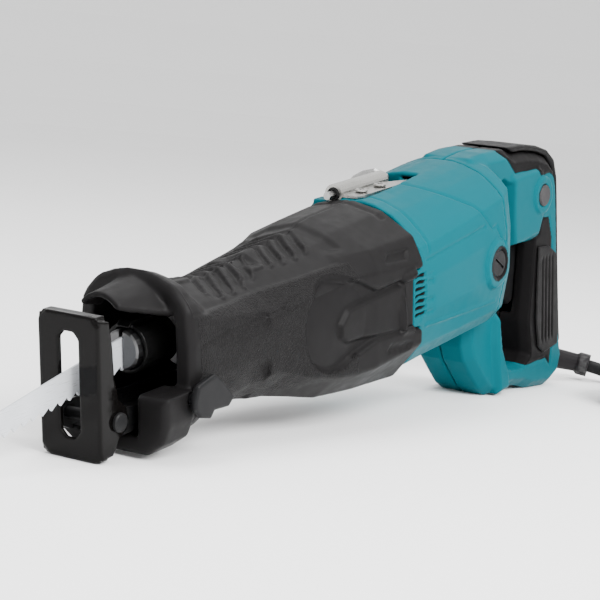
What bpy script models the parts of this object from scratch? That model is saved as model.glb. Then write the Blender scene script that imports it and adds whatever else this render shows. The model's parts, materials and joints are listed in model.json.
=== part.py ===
"""A corded reciprocating saw with a D-handle, built from its separate pieces.

Every piece is drawn in the tool's own frame: the origin is the centre of the shoe's working face,
+X runs back towards the handle, -Y is the left side and +Z is the top. The empty "tool" then stands
that frame on the surface z = 0, resting on the shoe's lower edge and on the base of the handle.
The cord is drawn in the world frame, because it lies on that surface.
"""

import math

import bmesh
import bpy
import numpy as np
from mathutils import Matrix, Vector

MM = 0.001

# ---- Driving dimensions, in metres -------------------------------------------------------------

REST_PITCH = math.radians(9.3)        # the tool's axis dips by this much towards the blade
TOOL_SHIFT = (-0.20644, -0.0010, 0.03589) # puts the middle of the tool's footprint over the origin
SHOE_HALF_HEIGHT = 36.5 * MM
SHOE_HALF_WIDTH = 18.8 * MM
SHOE_PIN = (13.7 * MM, -17.9 * MM)    # x and z of the shoe's pivot
PLUNGER_Z = 9.0 * MM
PLUNGER_R = 7.5 * MM
CRANK_X = 165 * MM                    # the crank turns on an axis along Y through here, at z = 0
CRANK_THROW = 16 * MM                 # half the stroke
YOKE_SLACK = 3.7 * MM                 # room on each side of the crank pin in the yoke
YOKE_REACH = 26 * MM                  # half the height of the yoke
BOOT_WALL = 3.0 * MM
CASE_WALL = 3.0 * MM
SHELL_WALL = 3.0 * MM
GAP = 0.35 * MM                       # between neighbouring pieces
BRUSH_X = 340 * MM
HANDLE_HALF = 21 * MM                 # half the thickness of the handle
LOCK_BUTTON = (443 * MM, 21.5 * MM)   # x and z
TRIGGER_PIVOT = (438.5 * MM, -11 * MM)  # x and z
HOOK_AXIS = (14 * MM, 50 * MM)        # y and z of the hook's swivel axis
LEVER_PIVOT = (49 * MM, -12 * MM)     # x and z of the shoe lever's pin
GUARD_Z = -98 * MM                    # height of the cord's exit
CORD_D = 8.6 * MM
COIL_CENTRE = (0.2722, -0.1187)       # world x and y
COIL_BASE = 1.0 * MM                  # the tie's thickness lifts the turns by this much
COIL_PITCH = 8.9 * MM
COIL_INNER = 35 * MM                  # centre line of the innermost turn
COIL_COLUMNS = 3                      # turns side by side
COIL_LAYERS = 3


def mm(*values):
    """Millimetres as metres."""
    return tuple(value * MM for value in values)


def mm_points(points):
    return [mm(*point) for point in points]


# ---- Scene and materials -----------------------------------------------------------------------


def clear_scene():
    for item in list(bpy.data.objects):
        bpy.data.objects.remove(item, do_unlink=True)


def finish(name, colour, roughness, metallic=0.0):
    """A Principled material."""
    made = bpy.data.materials.new(name)
    made.use_nodes = True
    shader = made.node_tree.nodes["Principled BSDF"]
    shader.inputs["Base Color"].default_value = (*colour, 1.0)
    shader.inputs["Roughness"].default_value = roughness
    shader.inputs["Metallic"].default_value = metallic
    made.diffuse_color = (*colour, 1.0)
    return made


clear_scene()

TEAL = finish("teal_plastic", (0.0, 0.30, 0.36), 0.45)
RUBBER = finish("black_elastomer", (0.03, 0.03, 0.032), 0.75)
BLACK = finish("black_plastic", (0.02, 0.02, 0.02), 0.5)
GREY = finish("dark_grey_plastic", (0.09, 0.085, 0.09), 0.55)
BLACK_STEEL = finish("black_coated_steel", (0.02, 0.018, 0.017), 0.25, 0.6)
STEEL = finish("bright_steel", (0.6, 0.6, 0.6), 0.3, 1.0)
BLADE_WHITE = finish("coated_blade_steel", (0.75, 0.77, 0.8), 0.35, 0.3)
ALUMINIUM = finish("cast_aluminium", (0.5, 0.5, 0.5), 0.5, 1.0)
BRONZE = finish("sintered_bronze", (0.45, 0.30, 0.15), 0.45, 1.0)
COPPER = finish("enamelled_copper", (0.5, 0.2, 0.08), 0.4, 0.9)
LAMINATION = finish("laminated_iron", (0.25, 0.25, 0.26), 0.5, 0.9)
CARBON = finish("carbon", (0.03, 0.03, 0.03), 0.8)
CORD_BLACK = finish("cord_rubber", (0.015, 0.015, 0.015), 0.5)


# ---- The frame the tool stands in --------------------------------------------------------------


def empty(name, parent=None, place=(0, 0, 0)):
    made = bpy.data.objects.new(name, None)
    bpy.context.collection.objects.link(made)
    made.empty_display_size = 0.02
    made.parent = parent
    made.location = place
    return made


TOOL = empty("tool", place=TOOL_SHIFT)
TOOL.rotation_euler = (0, -REST_PITCH, 0)

# One empty on each joint's axis, named after the body that it carries.
AXES = {
    "plunger_axis": (CRANK_X, 0, PLUNGER_Z),
    "clamp_axis": (55 * MM, 0, PLUNGER_Z),
    "crank_axis": (CRANK_X, 0, 0),
    "armature_axis": (280 * MM, 0, 0),
    "shoe_slide_axis": (60 * MM, 0, -25 * MM),
    "shoe_axis": (SHOE_PIN[0], 0, SHOE_PIN[1]),
    "lever_axis": (LEVER_PIVOT[0], 0, LEVER_PIVOT[1]),
    "trigger_axis": (TRIGGER_PIVOT[0], 0, TRIGGER_PIVOT[1]),
    "lock_axis": (LOCK_BUTTON[0], -HANDLE_HALF, LOCK_BUTTON[1]),
    "hook_axis": (255 * MM, HOOK_AXIS[0], HOOK_AXIS[1]),
}
EMPTIES = {name: empty(name, TOOL, place) for name, place in AXES.items()}


# ---- Mesh tools --------------------------------------------------------------------------------


def mesh_of(points, faces):
    """A closed mesh with its faces pointing out."""
    made = bmesh.new()
    corners = [made.verts.new(point) for point in points]
    for face in faces:
        made.faces.new([corners[i] for i in face])
    bmesh.ops.recalc_face_normals(made, faces=made.faces)
    mesh = bpy.data.meshes.new("shape")
    made.to_mesh(mesh)
    made.free()
    return mesh


def loft(loops, closed=False):
    """A skin over loops of equal length: capped at both ends, or joined last to first."""
    count = len(loops[0])
    points = [point for loop in loops for point in loop]
    faces = []
    spans = len(loops) if closed else len(loops) - 1
    for row in range(spans):
        after = (row + 1) % len(loops)
        for i in range(count):
            j = (i + 1) % count
            faces.append((row * count + i, row * count + j, after * count + j, after * count + i))
    if not closed:
        faces.append(tuple(range(count)))
        faces.append(tuple(range((len(loops) - 1) * count, len(loops) * count)))
    return mesh_of(points, faces)


def inset(points, depth):
    """A polygon in a plane, moved in by depth on every side (out where depth is negative)."""
    area = sum(a[0] * b[1] - b[0] * a[1] for a, b in zip(points, points[1:] + points[:1], strict=True))
    turn = 1.0 if area > 0 else -1.0
    moved = []
    for i, here in enumerate(points):
        before = Vector(points[i - 1])
        after = Vector(points[(i + 1) % len(points)])
        into = (Vector(here) - before).normalized()
        out = (after - Vector(here)).normalized()
        n1 = Vector((-into.y, into.x)) * turn
        n2 = Vector((-out.y, out.x)) * turn
        middle = n1 + n2
        middle = middle / max(middle.dot(n1), 0.35)
        moved.append(tuple(Vector(here) + middle * depth))
    return moved


def lifted(plane, point, along):
    """A point of a drawing plane, at its distance along the plane's normal axis."""
    a, b = point
    return {"XZ": (a, along, b), "YZ": (along, a, b), "XY": (a, b, along)}[plane]


def prism(plane, outline, low, high, chamfer=0.0):
    """An outline extruded from low to high, its rims chamfered."""
    steps = [(low, 0.0), (high, 0.0)]
    if chamfer:
        steps = [(low, chamfer), (low + chamfer, 0.0), (high - chamfer, 0.0), (high, chamfer)]
    loops = []
    for along, depth in steps:
        drawn = inset(outline, depth) if depth else outline
        loops.append([lifted(plane, point, along) for point in drawn])
    return loft(loops)


def box(low, high):
    outline = [(low[0], low[2]), (high[0], low[2]), (high[0], high[2]), (low[0], high[2])]
    return prism("XZ", outline, low[1], high[1])


def circle(centre, radius, count, start=0.0):
    made = []
    for i in range(count):
        angle = start + 2 * math.pi * i / count
        made.append((centre[0] + radius * math.cos(angle), centre[1] + radius * math.sin(angle)))
    return made


def rod(axis, centre, radius, low, high, count=16, chamfer=0.0):
    """A round bar along X, Y or Z; centre is its place on the two other axes."""
    plane = {"X": "YZ", "Y": "XZ", "Z": "XY"}[axis]
    return prism(plane, circle(centre, radius, count), low, high, chamfer)


def turned(axis, centre, profile, count=20):
    """A ring turned about X, Y or Z: profile is a closed loop of (distance along, radius)."""
    plane = {"X": "YZ", "Y": "XZ", "Z": "XY"}[axis]
    loops = []
    for along, radius in profile:
        loops.append([lifted(plane, point, along) for point in circle(centre, radius, count)])
    return loft(loops, closed=True)


def tube(axis, centre, inner, outer, low, high, count=20):
    return turned(axis, centre, [(low, inner), (low, outer), (high, outer), (high, inner)], count)


def combined(mesh, others, operation):
    """mesh with each other mesh joined to it or cut from it, by exact Booleans."""
    base = bpy.data.objects.new("base", mesh)
    bpy.context.collection.objects.link(base)
    helpers = []
    for other in others:
        helper = bpy.data.objects.new("helper", other)
        bpy.context.collection.objects.link(helper)
        helper.hide_render = True
        helper.display_type = "WIRE"
        step = base.modifiers.new("step", "BOOLEAN")
        step.object = helper
        step.operation = operation
        step.solver = "EXACT"
        helpers.append(helper)
    bpy.context.view_layer.update()
    result = bpy.data.meshes.new_from_object(base.evaluated_get(bpy.context.evaluated_depsgraph_get()))
    for item in [base, *helpers]:
        bpy.data.objects.remove(item, do_unlink=True)
    return result


def cut(mesh, *others):
    return combined(mesh, others, "DIFFERENCE")


def fused(mesh, *others):
    return combined(mesh, others, "UNION")


def kept(mesh, *others):
    return combined(mesh, others, "INTERSECT")


def mirrored(mesh):
    """A copy of a mesh on the other side of the tool, across y = 0."""
    made = bmesh.new()
    made.from_mesh(mesh)
    bmesh.ops.transform(made, matrix=Matrix.Scale(-1, 4, (0, 1, 0)), verts=made.verts)
    bmesh.ops.reverse_faces(made, faces=made.faces)
    copy = bpy.data.meshes.new("shape")
    made.to_mesh(copy)
    made.free()
    return copy


def turned_mesh(mesh, degrees, axis, about):
    """A mesh rotated about an axis through a point."""
    move = Matrix.Translation(about) @ Matrix.Rotation(math.radians(degrees), 4, axis)
    move = move @ Matrix.Translation(-Vector(about))
    mesh.transform(move)
    return mesh


def piece(name, mesh, material, axis=None):
    """A named object holding a mesh drawn in the tool frame, carried by a joint's empty."""
    made = bpy.data.objects.new(name, mesh)
    bpy.context.collection.objects.link(made)
    mesh.name = name
    mesh.materials.clear()
    mesh.materials.append(material)
    mesh.shade_smooth()
    mesh.set_sharp_from_angle(angle=math.radians(35))
    made.parent = EMPTIES[axis] if axis else TOOL
    if axis:
        mesh.transform(Matrix.Translation(-Vector(AXES[axis])))
    return made


# ---- The body's cross-sections -----------------------------------------------------------------

# Each station of the body: x, top z, shoulder y and z, half width, upper and lower z of the flat side,
# bottom shoulder y and z, bottom z. The order follows the outline from the top round to the bottom.
BULGE = 1.5  # how far the edge between the two upper facets stands out
BOOT_STATIONS = (
    (50, 46, 19, 42, 34, 26, -18, 22, -34, -36),
    (53, 49, 20, 45, 36, 27, -19, 24, -36, -39),
    (62, 46, 19, 42, 36.5, 26, -19, 23, -36, -38),
    (74, 38, 15, 34.5, 36, 19, -17, 21, -33, -35),
    (105, 36, 14, 31.5, 37, 15, -14, 20, -31, -34),
    (130, 37.5, 15, 33, 38, 15, -18, 22, -34, -37),
    (150, 40, 16, 35, 40, 17, -25, 24, -39, -42),
    (172, 42, 18, 37, 42, 19, -31, 26, -45, -47),
    (190, 45, 19, 39.5, 44, 22, -33, 27, -47, -49),
    (215, 48, 20, 41, 47, 23, -32, 28, -49, -51),
    (250, 49.5, 22, 45, 48.7, 22, -27, 30, -51, -53),
)
HOUSING_STATIONS = (
    (250, 50, 22, 46.5, 48.7, 22, -27, 31, -50, -53),
    (275, 51, 22, 47.5, 48.7, 24, -26, 30, -49, -52),
    (305, 54, 22, 50, 48.3, 28, -26, 30, -48, -51),
    (352, 58, 22, 54, 46.5, 34, -25, 30, -46, -51),
)
DOME_STATIONS = (
    (352, 58, 22, 54, 46.5, 34, -25, 30, -46, -51),
    (364, 58.5, 20, 55, 42.5, 38, -27, 27, -46, -51),
    (371, 58.5, 18, 54, 34, 38, -25, 24, -45, -50),
    (377, 57, 15, 52, 24, 34, -22, 18, -42, -48),
)


def section(x, top, shoulder_y, shoulder_z, half, upper, lower, foot_y, foot_z, bottom, steps=1):
    """One closed cross-section of the body, its corners rounded off, as (y, z) in metres."""
    corner = ((shoulder_y + half) / 2 + BULGE, (shoulder_z + upper) / 2 + BULGE)
    right = [(shoulder_y, shoulder_z), corner, (half, upper), (half, lower), (foot_y, foot_z)]
    left = [(-y, z) for y, z in reversed(right)]
    corners = mm_points([(0, top), *right, (0, bottom), *left])
    return soft_corners(corners, 0.3, steps)


def soft_corners(corners, share, steps):
    """A polygon with each corner replaced by a short curve that uses this share of its sides."""
    made = []
    for i, corner in enumerate(corners):
        corner = Vector(corner)
        start = corner.lerp(Vector(corners[i - 1]), share)
        end = corner.lerp(Vector(corners[(i + 1) % len(corners)]), share)
        for step in range(steps + 1):
            t = step / steps
            first = start.lerp(corner, t)
            second = corner.lerp(end, t)
            made.append(tuple(first.lerp(second, t)))
    return made


def station_at(stations, x_mm):
    """The station's numbers at any x, read between the listed ones."""
    for before, after in zip(stations, stations[1:], strict=False):
        if before[0] <= x_mm <= after[0]:
            t = (x_mm - before[0]) / (after[0] - before[0])
            return tuple(a + (b - a) * t for a, b in zip(before, after, strict=True))
    raise ValueError(x_mm)


def ring(stations, x_mm, depth=0.0, x_out=None):
    """The body's section at x, moved in by depth, as a loop of 3-D points."""
    outline = section(*station_at(stations, x_mm))
    drawn = inset(outline, depth) if depth else outline
    x = x_mm * MM if x_out is None else x_out
    return [(x, y, z) for y, z in drawn]


def round_ring(x_mm, radius, centre_z):
    """A circle with as many points as a body section, so that the two can be lofted together."""
    count = len(section(*BOOT_STATIONS[0]))
    # Points run from the top towards +Y, as in section().
    start = math.pi / 2 + math.pi / count
    made = []
    for i in range(count):
        angle = start - 2 * math.pi * i / count
        made.append((x_mm * MM, radius * math.cos(angle), centre_z + radius * math.sin(angle)))
    return made


def oval_ring(x_mm, half, top, bottom):
    """The mouth's inner outline: upright, with round shoulders."""
    numbers = (x_mm, top, half * 0.6, top - 3, half, top - 15, bottom + 12, half * 0.7, bottom + 2, bottom)
    return [(x_mm * MM, y, z) for y, z in section(*numbers)]


# ---- Casings -----------------------------------------------------------------------------------


def nose_boot():
    """The elastomer cover of the gear case, with its mouth, its chin and its visor."""
    outer = [ring(BOOT_STATIONS, station[0]) for station in BOOT_STATIONS]
    inner = [oval_ring(x, half, top, -31.5) for x, half, top in ((49, 26, 41), (62, 26, 39), (80, 26.5, 32))]
    inner += [oval_ring(x, 27, 32, -31.5) for x in (92, 120)]
    inner += [ring(BOOT_STATIONS, x, BOOT_WALL) for x in (124, 127, 130, 150, 172, 190, 215, 236)]
    inner.append(ring(BOOT_STATIONS, 250, BOOT_WALL, 251 * MM))
    body = cut(fused(loft(outer), *side_details()), loft(inner))
    chin_outline = mm_points(
        [(-37, -8), (-37, -22), (-33, -32), (-23, -39), (23, -39), (33, -32), (37, -22), (37, -8)]
    )
    chin = prism("YZ", chin_outline, 28 * MM, 52 * MM, 2 * MM)
    bracket_way = box(mm(20, -18.5, -30), mm(90, 18.5, 4))
    lever_bore = rod("Y", LEVER_PIVOT, 3.4 * MM, -45 * MM, -20 * MM, 12)
    return cut(fused(body, cut(chin, bracket_way), visor()), lever_bore)


def side_details():
    """The raised disc, strip, strap and corner tabs on both flanks of the boot, each reaching inside."""
    shapes = [rod("Y", (167 * MM, -1 * MM), 25.5 * MM, -46.5 * MM, -36 * MM, 32, 5 * MM)]
    strip = [(161.6, -2), (166, -11), (174, -15.5), (227, -17), (227, 13), (174, 12), (166, 8)]
    strap = [(229, -20), (240, -20), (240, 13.6), (229, 13.6)]
    upper_tab = [(206, 15.5), (249.6, 18.5), (249.6, 31), (222, 27)]
    lower_tab = [(206, -18), (222, -37), (249.6, -42), (249.6, -21)]
    for outline, reach in ((strip, 49.6), (strap, 52), (upper_tab, 49.8), (lower_tab, 49.8)):
        shapes.append(prism("XZ", mm_points(outline), -reach * MM, -38 * MM, 1 * MM))
    return shapes + [mirrored(shape) for shape in shapes]


def visor():
    """The brim over the mouth: an arch that narrows towards its front lip."""
    loops = []
    for x, half, side, crown in ((24, 12, 36.5, 42), (36, 17, 33, 43), (52, 24, 29, 45)):
        arch = []
        for i in range(7):
            t = i / 6 * 2 - 1
            arch.append(mm(x, half * t, side + (crown - side) * (1 - t * t)))
        under = [(px, py * 0.9, pz - 3 * MM) for px, py, pz in reversed(arch)]
        loops.append(arch + under)
    return loft(loops)


def gear_housing():
    """The aluminium gear case: a round nose that holds the plunger, and the crank's chamber."""
    depth = BOOT_WALL + GAP
    nose = [round_ring(x, 21.5 * MM, PLUNGER_Z) for x in (92, 123)]
    case = [ring(BOOT_STATIONS, x, depth) for x in (127, 130, 150, 172, 190, 215, 236)]
    inner = depth + CASE_WALL
    chamber = [ring(BOOT_STATIONS, x, inner) for x in (236, 215, 190, 172, 150, 130)]
    bore = [round_ring(x, 12.4 * MM, PLUNGER_Z) for x in (124, 92)]
    boss = tube("Y", (CRANK_X, 0), 11.35 * MM, 14.5 * MM, 24.2 * MM, 35.8 * MM)
    return fused(loft(nose + case + chamber + bore, closed=True), boss)


def gear_housing_cover():
    """The plate that closes the gear case and carries the armature's front bearing."""
    outline = [(y, z) for _, y, z in ring(BOOT_STATIONS, 236, BOOT_WALL + GAP)]
    plate = prism("YZ", outline, 236.4 * MM, 242 * MM)
    return cut(plate, rod("X", (0, 0), 11.4 * MM, 230 * MM, 250 * MM, 20))


def motor_housing():
    """The shell round the motor, closed at the rear by a wall with the rear bearing's seat."""
    start = 250 * MM + GAP
    outer = [ring(HOUSING_STATIONS, 250, 0, start)]
    outer += [ring(HOUSING_STATIONS, x) for x in (275, 305, 352)]
    seat_profile = ((353, 14), (365, 13), (365, 9.9), (355.5, 9.9), (355.5, 6.2), (350.2, 6.2), (349.5, 14))
    seat = [round_ring(x, radius * MM, 0) for x, radius in seat_profile]
    inner = [ring(HOUSING_STATIONS, x, SHELL_WALL) for x in (348, 305, 275)]
    inner.append(ring(HOUSING_STATIONS, 250, SHELL_WALL, start))
    shell = loft(outer + seat + inner, closed=True)
    shell = fused(shell, box(mm(251, -8, 41.6), mm(322, 27, 46.3)), box(mm(300, -8, 46), mm(322, 27, 49)))
    cutters = [hook_recess(), hook_trough()]
    for side in (-1, 1):
        low, high = sorted((side * 30 * MM, side * 55 * MM))
        cutters.append(rod("Y", (BRUSH_X, 0), 8.6 * MM, low, high, 16))
    for i in range(7):
        z = 9.5 - 3.6 * i
        cutters.append(box(mm(254, -60, z - 1), mm(263, 60, z + 1)))
    return cut(shell, *cutters)


def hook_recess():
    """The flat shelf in the housing's top that the hook's plate is screwed to."""
    y, z = HOOK_AXIS
    return box((245 * MM, y - 18.6 * MM, z - 1.5 * MM), (317 * MM, y + 26 * MM, z + 20 * MM))


def hook_trough():
    """The rounded channel under the hook's curled tube."""
    y, z = HOOK_AXIS
    return rod("X", (y, z), 6.2 * MM, 240 * MM, 317 * MM, 20)


# ---- The handle --------------------------------------------------------------------------------

HANDLE_OUTLINE = mm_points(
    [
        (358, 57.5), (375, 58.5), (400, 57.3), (411, 52.6), (425, 51.8), (443, 48.6), (456.5, 44.2),
        (465.5, 36.5), (470, 24), (475.5, -30), (480.5, -76), (485, -94), (480, -107), (465, -112.5),
        (440, -108.41), (428, -103.5), (414, -100.4), (384, -99.24), (376, -93.5), (366, -82), (357, -71),
        (352.4, -60),
    ]
)
OPENING_OUTLINE = mm_points(
    [
        (385, 30), (387, -10), (391, -46), (395, -67), (401, -80), (412, -86), (426, -88),
        (434, -83), (430, -60), (434, -30), (436, -9), (404, -7.5), (402, 12), (402, 33), (394, 37),
    ]
)
SCREWS = mm_points([(372, 40), (424, 33), (452, -99)])  # x and z, in the right half


def handle_body(depth):
    """The handle's solid shape, or with a depth, the hollow inside it."""
    half = HANDLE_HALF - depth
    rounding = 5.5 * MM if depth == 0 else 4.0 * MM
    outline = inset(HANDLE_OUTLINE, depth) if depth else HANDLE_OUTLINE
    plate = prism("XZ", outline, -half, half, rounding)
    stations = (364, 371) if depth else (364, 371, 377)
    start = 345 * MM if depth else 352 * MM + GAP
    dome_rings = [ring(DOME_STATIONS, 352, depth, start)]
    dome_rings += [ring(DOME_STATIONS, x, depth) for x in stations]
    pod_outline = mm_points([(403, 40), (403, -6), (412, -7), (441, -4), (447, 8), (447, 36), (440, 41)])
    pod = prism("XZ", inset(pod_outline, depth), depth - 23.5 * MM, 23.5 * MM - depth, 2.5 * MM)
    parts = [loft(dome_rings), pod]
    if not depth:
        parts.append(prism("XZ", block_outline(), -25 * MM, 25 * MM, 3 * MM))
        parts.append(rod("Y", LOCK_BUTTON, 12.3 * MM, -23.3 * MM, -12 * MM, 24, 1.2 * MM))
    return fused(plate, *parts)


def block_outline():
    """The wider base in front of the opening, where the tool stands."""
    return mm_points(
        [(382, -64), (383, -45), (391, -46), (395, -67), (401, -82), (405, -98), (388, -98.7)]
    )


def opening(depth):
    """The gap for the fingers, flared at both sides; with a depth, grown by a wall's thickness."""
    loops = []
    for along, grow in ((-27, 5.5), (-14, 0), (14, 0), (27, 5.5)):
        drawn = inset(OPENING_OUTLINE, -(grow * MM + depth))
        loops.append([(x, along * MM, z) for x, z in drawn])
    return loft(loops)


def handle_shell():
    """Both halves of the handle before they are parted: hollow, with the holes for what it carries."""
    hollow = cut(handle_body(SHELL_WALL), opening(SHELL_WALL))
    shell = cut(handle_body(0.0), opening(0.0), hollow)
    trigger_slot = box(mm(424, -8.3, -56), mm(440, 8.3, -7))
    button_hole = rod("Y", LOCK_BUTTON, 7.5 * MM, -30 * MM, -15 * MM, 16)
    guard_hole = rod("X", (0, GUARD_Z), 8.3 * MM, 474 * MM, 500 * MM, 16)
    return cut(shell, trigger_slot, button_hole, guard_hole)


def handle_half(shell, side):
    """The left half is side -1 and the right half, with its screw holes, is side 1."""
    low, high = sorted((side * 0.18 * MM, side * 60 * MM))
    half = kept(shell, box((300 * MM, low, -130 * MM), (500 * MM, high, 80 * MM)))
    if side < 0:
        return half
    faces = [screw_face(x) for x, _ in SCREWS]
    holes = [
        rod("Y", place, 3.3 * MM, face - 1.9 * MM, 60 * MM, 14)
        for place, face in zip(SCREWS, faces, strict=True)
    ]
    return cut(half, *holes)


def screw_face(x):
    """How far out the right half's surface is where a screw stands."""
    if x < 400 * MM:
        return 36 * MM
    return 23.5 * MM if x < 440 * MM else HANDLE_HALF


def handle_screw(place):
    """The head of a case screw, with its cross recess."""
    face = screw_face(place[0])
    head = rod("Y", place, 2.9 * MM, face - 1.6 * MM, face - 0.2 * MM, 14, 0.3 * MM)
    x, z = place
    bar = 0.45 * MM
    reach = 1.8 * MM
    across = box((x - reach, face - 0.9 * MM, z - bar), (x + reach, face + MM, z + bar))
    upright = box((x - bar, face - 0.9 * MM, z - reach), (x + bar, face + MM, z + reach))
    return cut(head, across, upright)


def grip_cover():
    """The elastomer over the handle's top and back."""
    outer = mm_points(
        [(404, 57.8), (425, 56.5), (445, 53), (460, 48), (470, 40.5), (474.5, 28), (476, 15),
         (480, -30), (484.6, -74), (486.5, -86)]
    )
    inner = mm_points(
        [(483.9, -87), (481.1, -76), (476.1, -30), (470.6, 24.3), (466.1, 36.9), (456.9, 44.9),
         (443.2, 49.2), (425.1, 52.4), (411.3, 53.2)]
    )
    return prism("XZ", outer + inner, -17.5 * MM, 17.5 * MM, 1.4 * MM)


def grip_pad(side):
    """The ribbed elastomer panel on one side of the grip."""
    outline = mm_points(
        [(441, -12), (456, -14), (468, -22), (472.5, -72), (472, -84), (452, -86), (444, -80), (440, -62), (440, -35)]
    )
    low, high = sorted((side * (HANDLE_HALF + GAP), side * (HANDLE_HALF + 1.7 * MM)))
    return prism("XZ", outline, low, high, 0.5 * MM)


# ---- Drive -------------------------------------------------------------------------------------


def gear_outline(radius, tooth, count):
    """A toothed circle: each tooth is a trapezium."""
    made = []
    for i in range(count):
        for share, r in ((0.0, radius - tooth), (0.25, radius - tooth), (0.42, radius), (0.78, radius)):
            angle = 2 * math.pi * (i + share) / count
            made.append((r * math.cos(angle), r * math.sin(angle)))
    return made


def crank_gear():
    """The large gear with its hub, turning on an axis along Y."""
    teeth = [(CRANK_X + x, z) for x, z in gear_outline(29 * MM, 2.4 * MM, 28)]
    disc = prism("XZ", teeth, 9 * MM, 16 * MM)
    hub = rod("Y", (CRANK_X, 0), 6 * MM, 15 * MM, 34.4 * MM, 16)
    return fused(disc, hub)


def crank_pin():
    """The roller that drives the yoke, standing on the gear's face."""
    return rod("Y", (CRANK_X, CRANK_THROW), 4.3 * MM, -16 * MM, 9 * MM - GAP, 16)


def plunger():
    """The sliding rod with the slotted yoke at its rear end."""
    bar = rod("X", (0, PLUNGER_Z), PLUNGER_R, 55 * MM, 150 * MM, 20)
    half_x = 4.3 * MM + YOKE_SLACK + 5 * MM
    frame = prism(
        "XZ",
        [(CRANK_X - half_x, -YOKE_REACH), (CRANK_X + half_x, -YOKE_REACH),
         (CRANK_X + half_x, YOKE_REACH), (CRANK_X - half_x, YOKE_REACH)],
        -15.3 * MM, -8.6 * MM, 1 * MM,
    )
    slot_x = 4.3 * MM + YOKE_SLACK
    window = box((CRANK_X - slot_x, -20 * MM, -21.5 * MM), (CRANK_X + slot_x, 0, 21.5 * MM))
    foot = box(mm(147.5, -15, 2), mm(154.5, 3, 16))
    return fused(cut(frame, window), foot, bar)


def armature_shaft():
    return prism("YZ", circle((0, 0), 4.6 * MM, 14), 186 * MM, 364 * MM, 1 * MM)


def pinion():
    body = prism("YZ", gear_outline(8.2 * MM, 2.2 * MM, 9), 187 * MM, 197 * MM)
    return cut(body, rod("X", (0, 0), 4.6 * MM + GAP, 180 * MM, 200 * MM, 14))


def armature_core():
    """The slotted iron core of the armature."""
    outline = []
    for i in range(12):
        for share, r in ((0.0, 22), (0.36, 22), (0.40, 17), (0.60, 17), (0.64, 22)):
            angle = 2 * math.pi * (i + share) / 12
            outline.append((r * MM * math.cos(angle), r * MM * math.sin(angle)))
    core = prism("YZ", outline, 268 * MM, 308 * MM)
    return cut(core, rod("X", (0, 0), 4.6 * MM + GAP, 250 * MM, 320 * MM, 14))


def armature_windings(low, high):
    """The copper end turns at one end of the core."""
    inner = 4.6 * MM + GAP
    middle = (low + high) / 2
    return turned("X", (0, 0), [(low, inner), (low, 15 * MM), (middle, 18 * MM), (high, 15 * MM), (high, inner)], 16)


def commutator():
    return tube("X", (0, 0), 4.6 * MM + GAP, 13 * MM, 325 * MM, 347 * MM, 24)


def fan():
    """The cooling fan behind the gear case: a hub, a disc and its blades."""
    disc = tube("X", (0, 0), 4.6 * MM + GAP, 34 * MM, 243.2 * MM, 245 * MM, 24)
    hub = tube("X", (0, 0), 4.6 * MM + GAP, 9 * MM, 244 * MM, 256 * MM, 16)
    blades = []
    for i in range(9):
        blade = box(mm(244.5, -0.9, 11), mm(253, 0.9, 33))
        blades.append(turned_mesh(blade, i * 40, "X", (0, 0, 0)))
    return fused(disc, hub, *blades)


def stator():
    """The field core that the armature turns in."""
    return tube("X", (0, 0), 23.2 * MM, 41 * MM, 268 * MM, 308 * MM, 24)


def field_winding(low, high):
    return tube("X", (0, 0), 24.5 * MM, 36 * MM, low, high, 20)


def ball_bearing(axis, centre, inner, outer, low, high):
    """A sealed bearing, its rims relieved."""
    relief = 0.8 * MM
    profile = [
        (low, inner), (low, inner + 2 * MM), (low + relief, inner + 2.4 * MM), (low + relief, outer - 2 * MM),
        (low, outer - 1.6 * MM), (low, outer), (high, outer), (high, inner),
    ]
    return turned(axis, centre, profile, 20)


def brush_holder(side):
    """The brass tube that guides a brush, square inside."""
    low, high = sorted((side * 15.5 * MM, side * 38 * MM))
    body = rod("Y", (BRUSH_X, 0), 7.6 * MM, low, high, 16)
    return cut(body, box((BRUSH_X - 4.2 * MM, -50 * MM, -5.2 * MM), (BRUSH_X + 4.2 * MM, 50 * MM, 5.2 * MM)))


def brush(side):
    low, high = sorted((side * 13.4 * MM, side * 30 * MM))
    return box((BRUSH_X - 3.8 * MM, low, -4.8 * MM), (BRUSH_X + 3.8 * MM, high, 4.8 * MM))


def brush_cap(side):
    """The screw cap over a brush, with a coin slot."""
    low, high = sorted((side * 38.6 * MM, side * 48.3 * MM))
    body = rod("Y", (BRUSH_X, 0), 8.2 * MM, low, high, 20, 0.6 * MM)
    edge = sorted((side * 47.3 * MM, side * 49 * MM))
    slot = box((BRUSH_X - 6 * MM, edge[0], -0.8 * MM), (BRUSH_X + 6 * MM, edge[1], 0.8 * MM))
    return cut(body, turned_mesh(slot, 35, "Y", (BRUSH_X, 0, 0)))


# ---- Blade clamp -------------------------------------------------------------------------------


def clamp_body():
    """The steel head on the plunger's end, slotted for the blade."""
    bore = rod("X", (0, PLUNGER_Z), PLUNGER_R + GAP, 54.5 * MM, 80 * MM, 20)
    head = rod("X", (0, PLUNGER_Z), 10.4 * MM, 40 * MM, 72 * MM, 20, 1 * MM)
    slot = box(mm(30, -1.2, -4), mm(54, 1.2, 22))
    return cut(head, bore, slot)


def clamp_sleeve():
    """The collar that turns to free the blade, with its thumb tab."""
    collar = tube("X", (0, PLUNGER_Z), 10.8 * MM, 13.2 * MM, 44 * MM, 70 * MM, 24)
    tab = prism("XZ", mm_points([(41, 20.5), (44, 23.6), (58, 23.6), (62, 21), (58, 19.6), (45, 19.6)]), -4 * MM, 4 * MM)
    cutter = rod("X", (0, PLUNGER_Z), 10.8 * MM, 30 * MM, 90 * MM, 24)
    return fused(collar, cut(tab, cutter))


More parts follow.
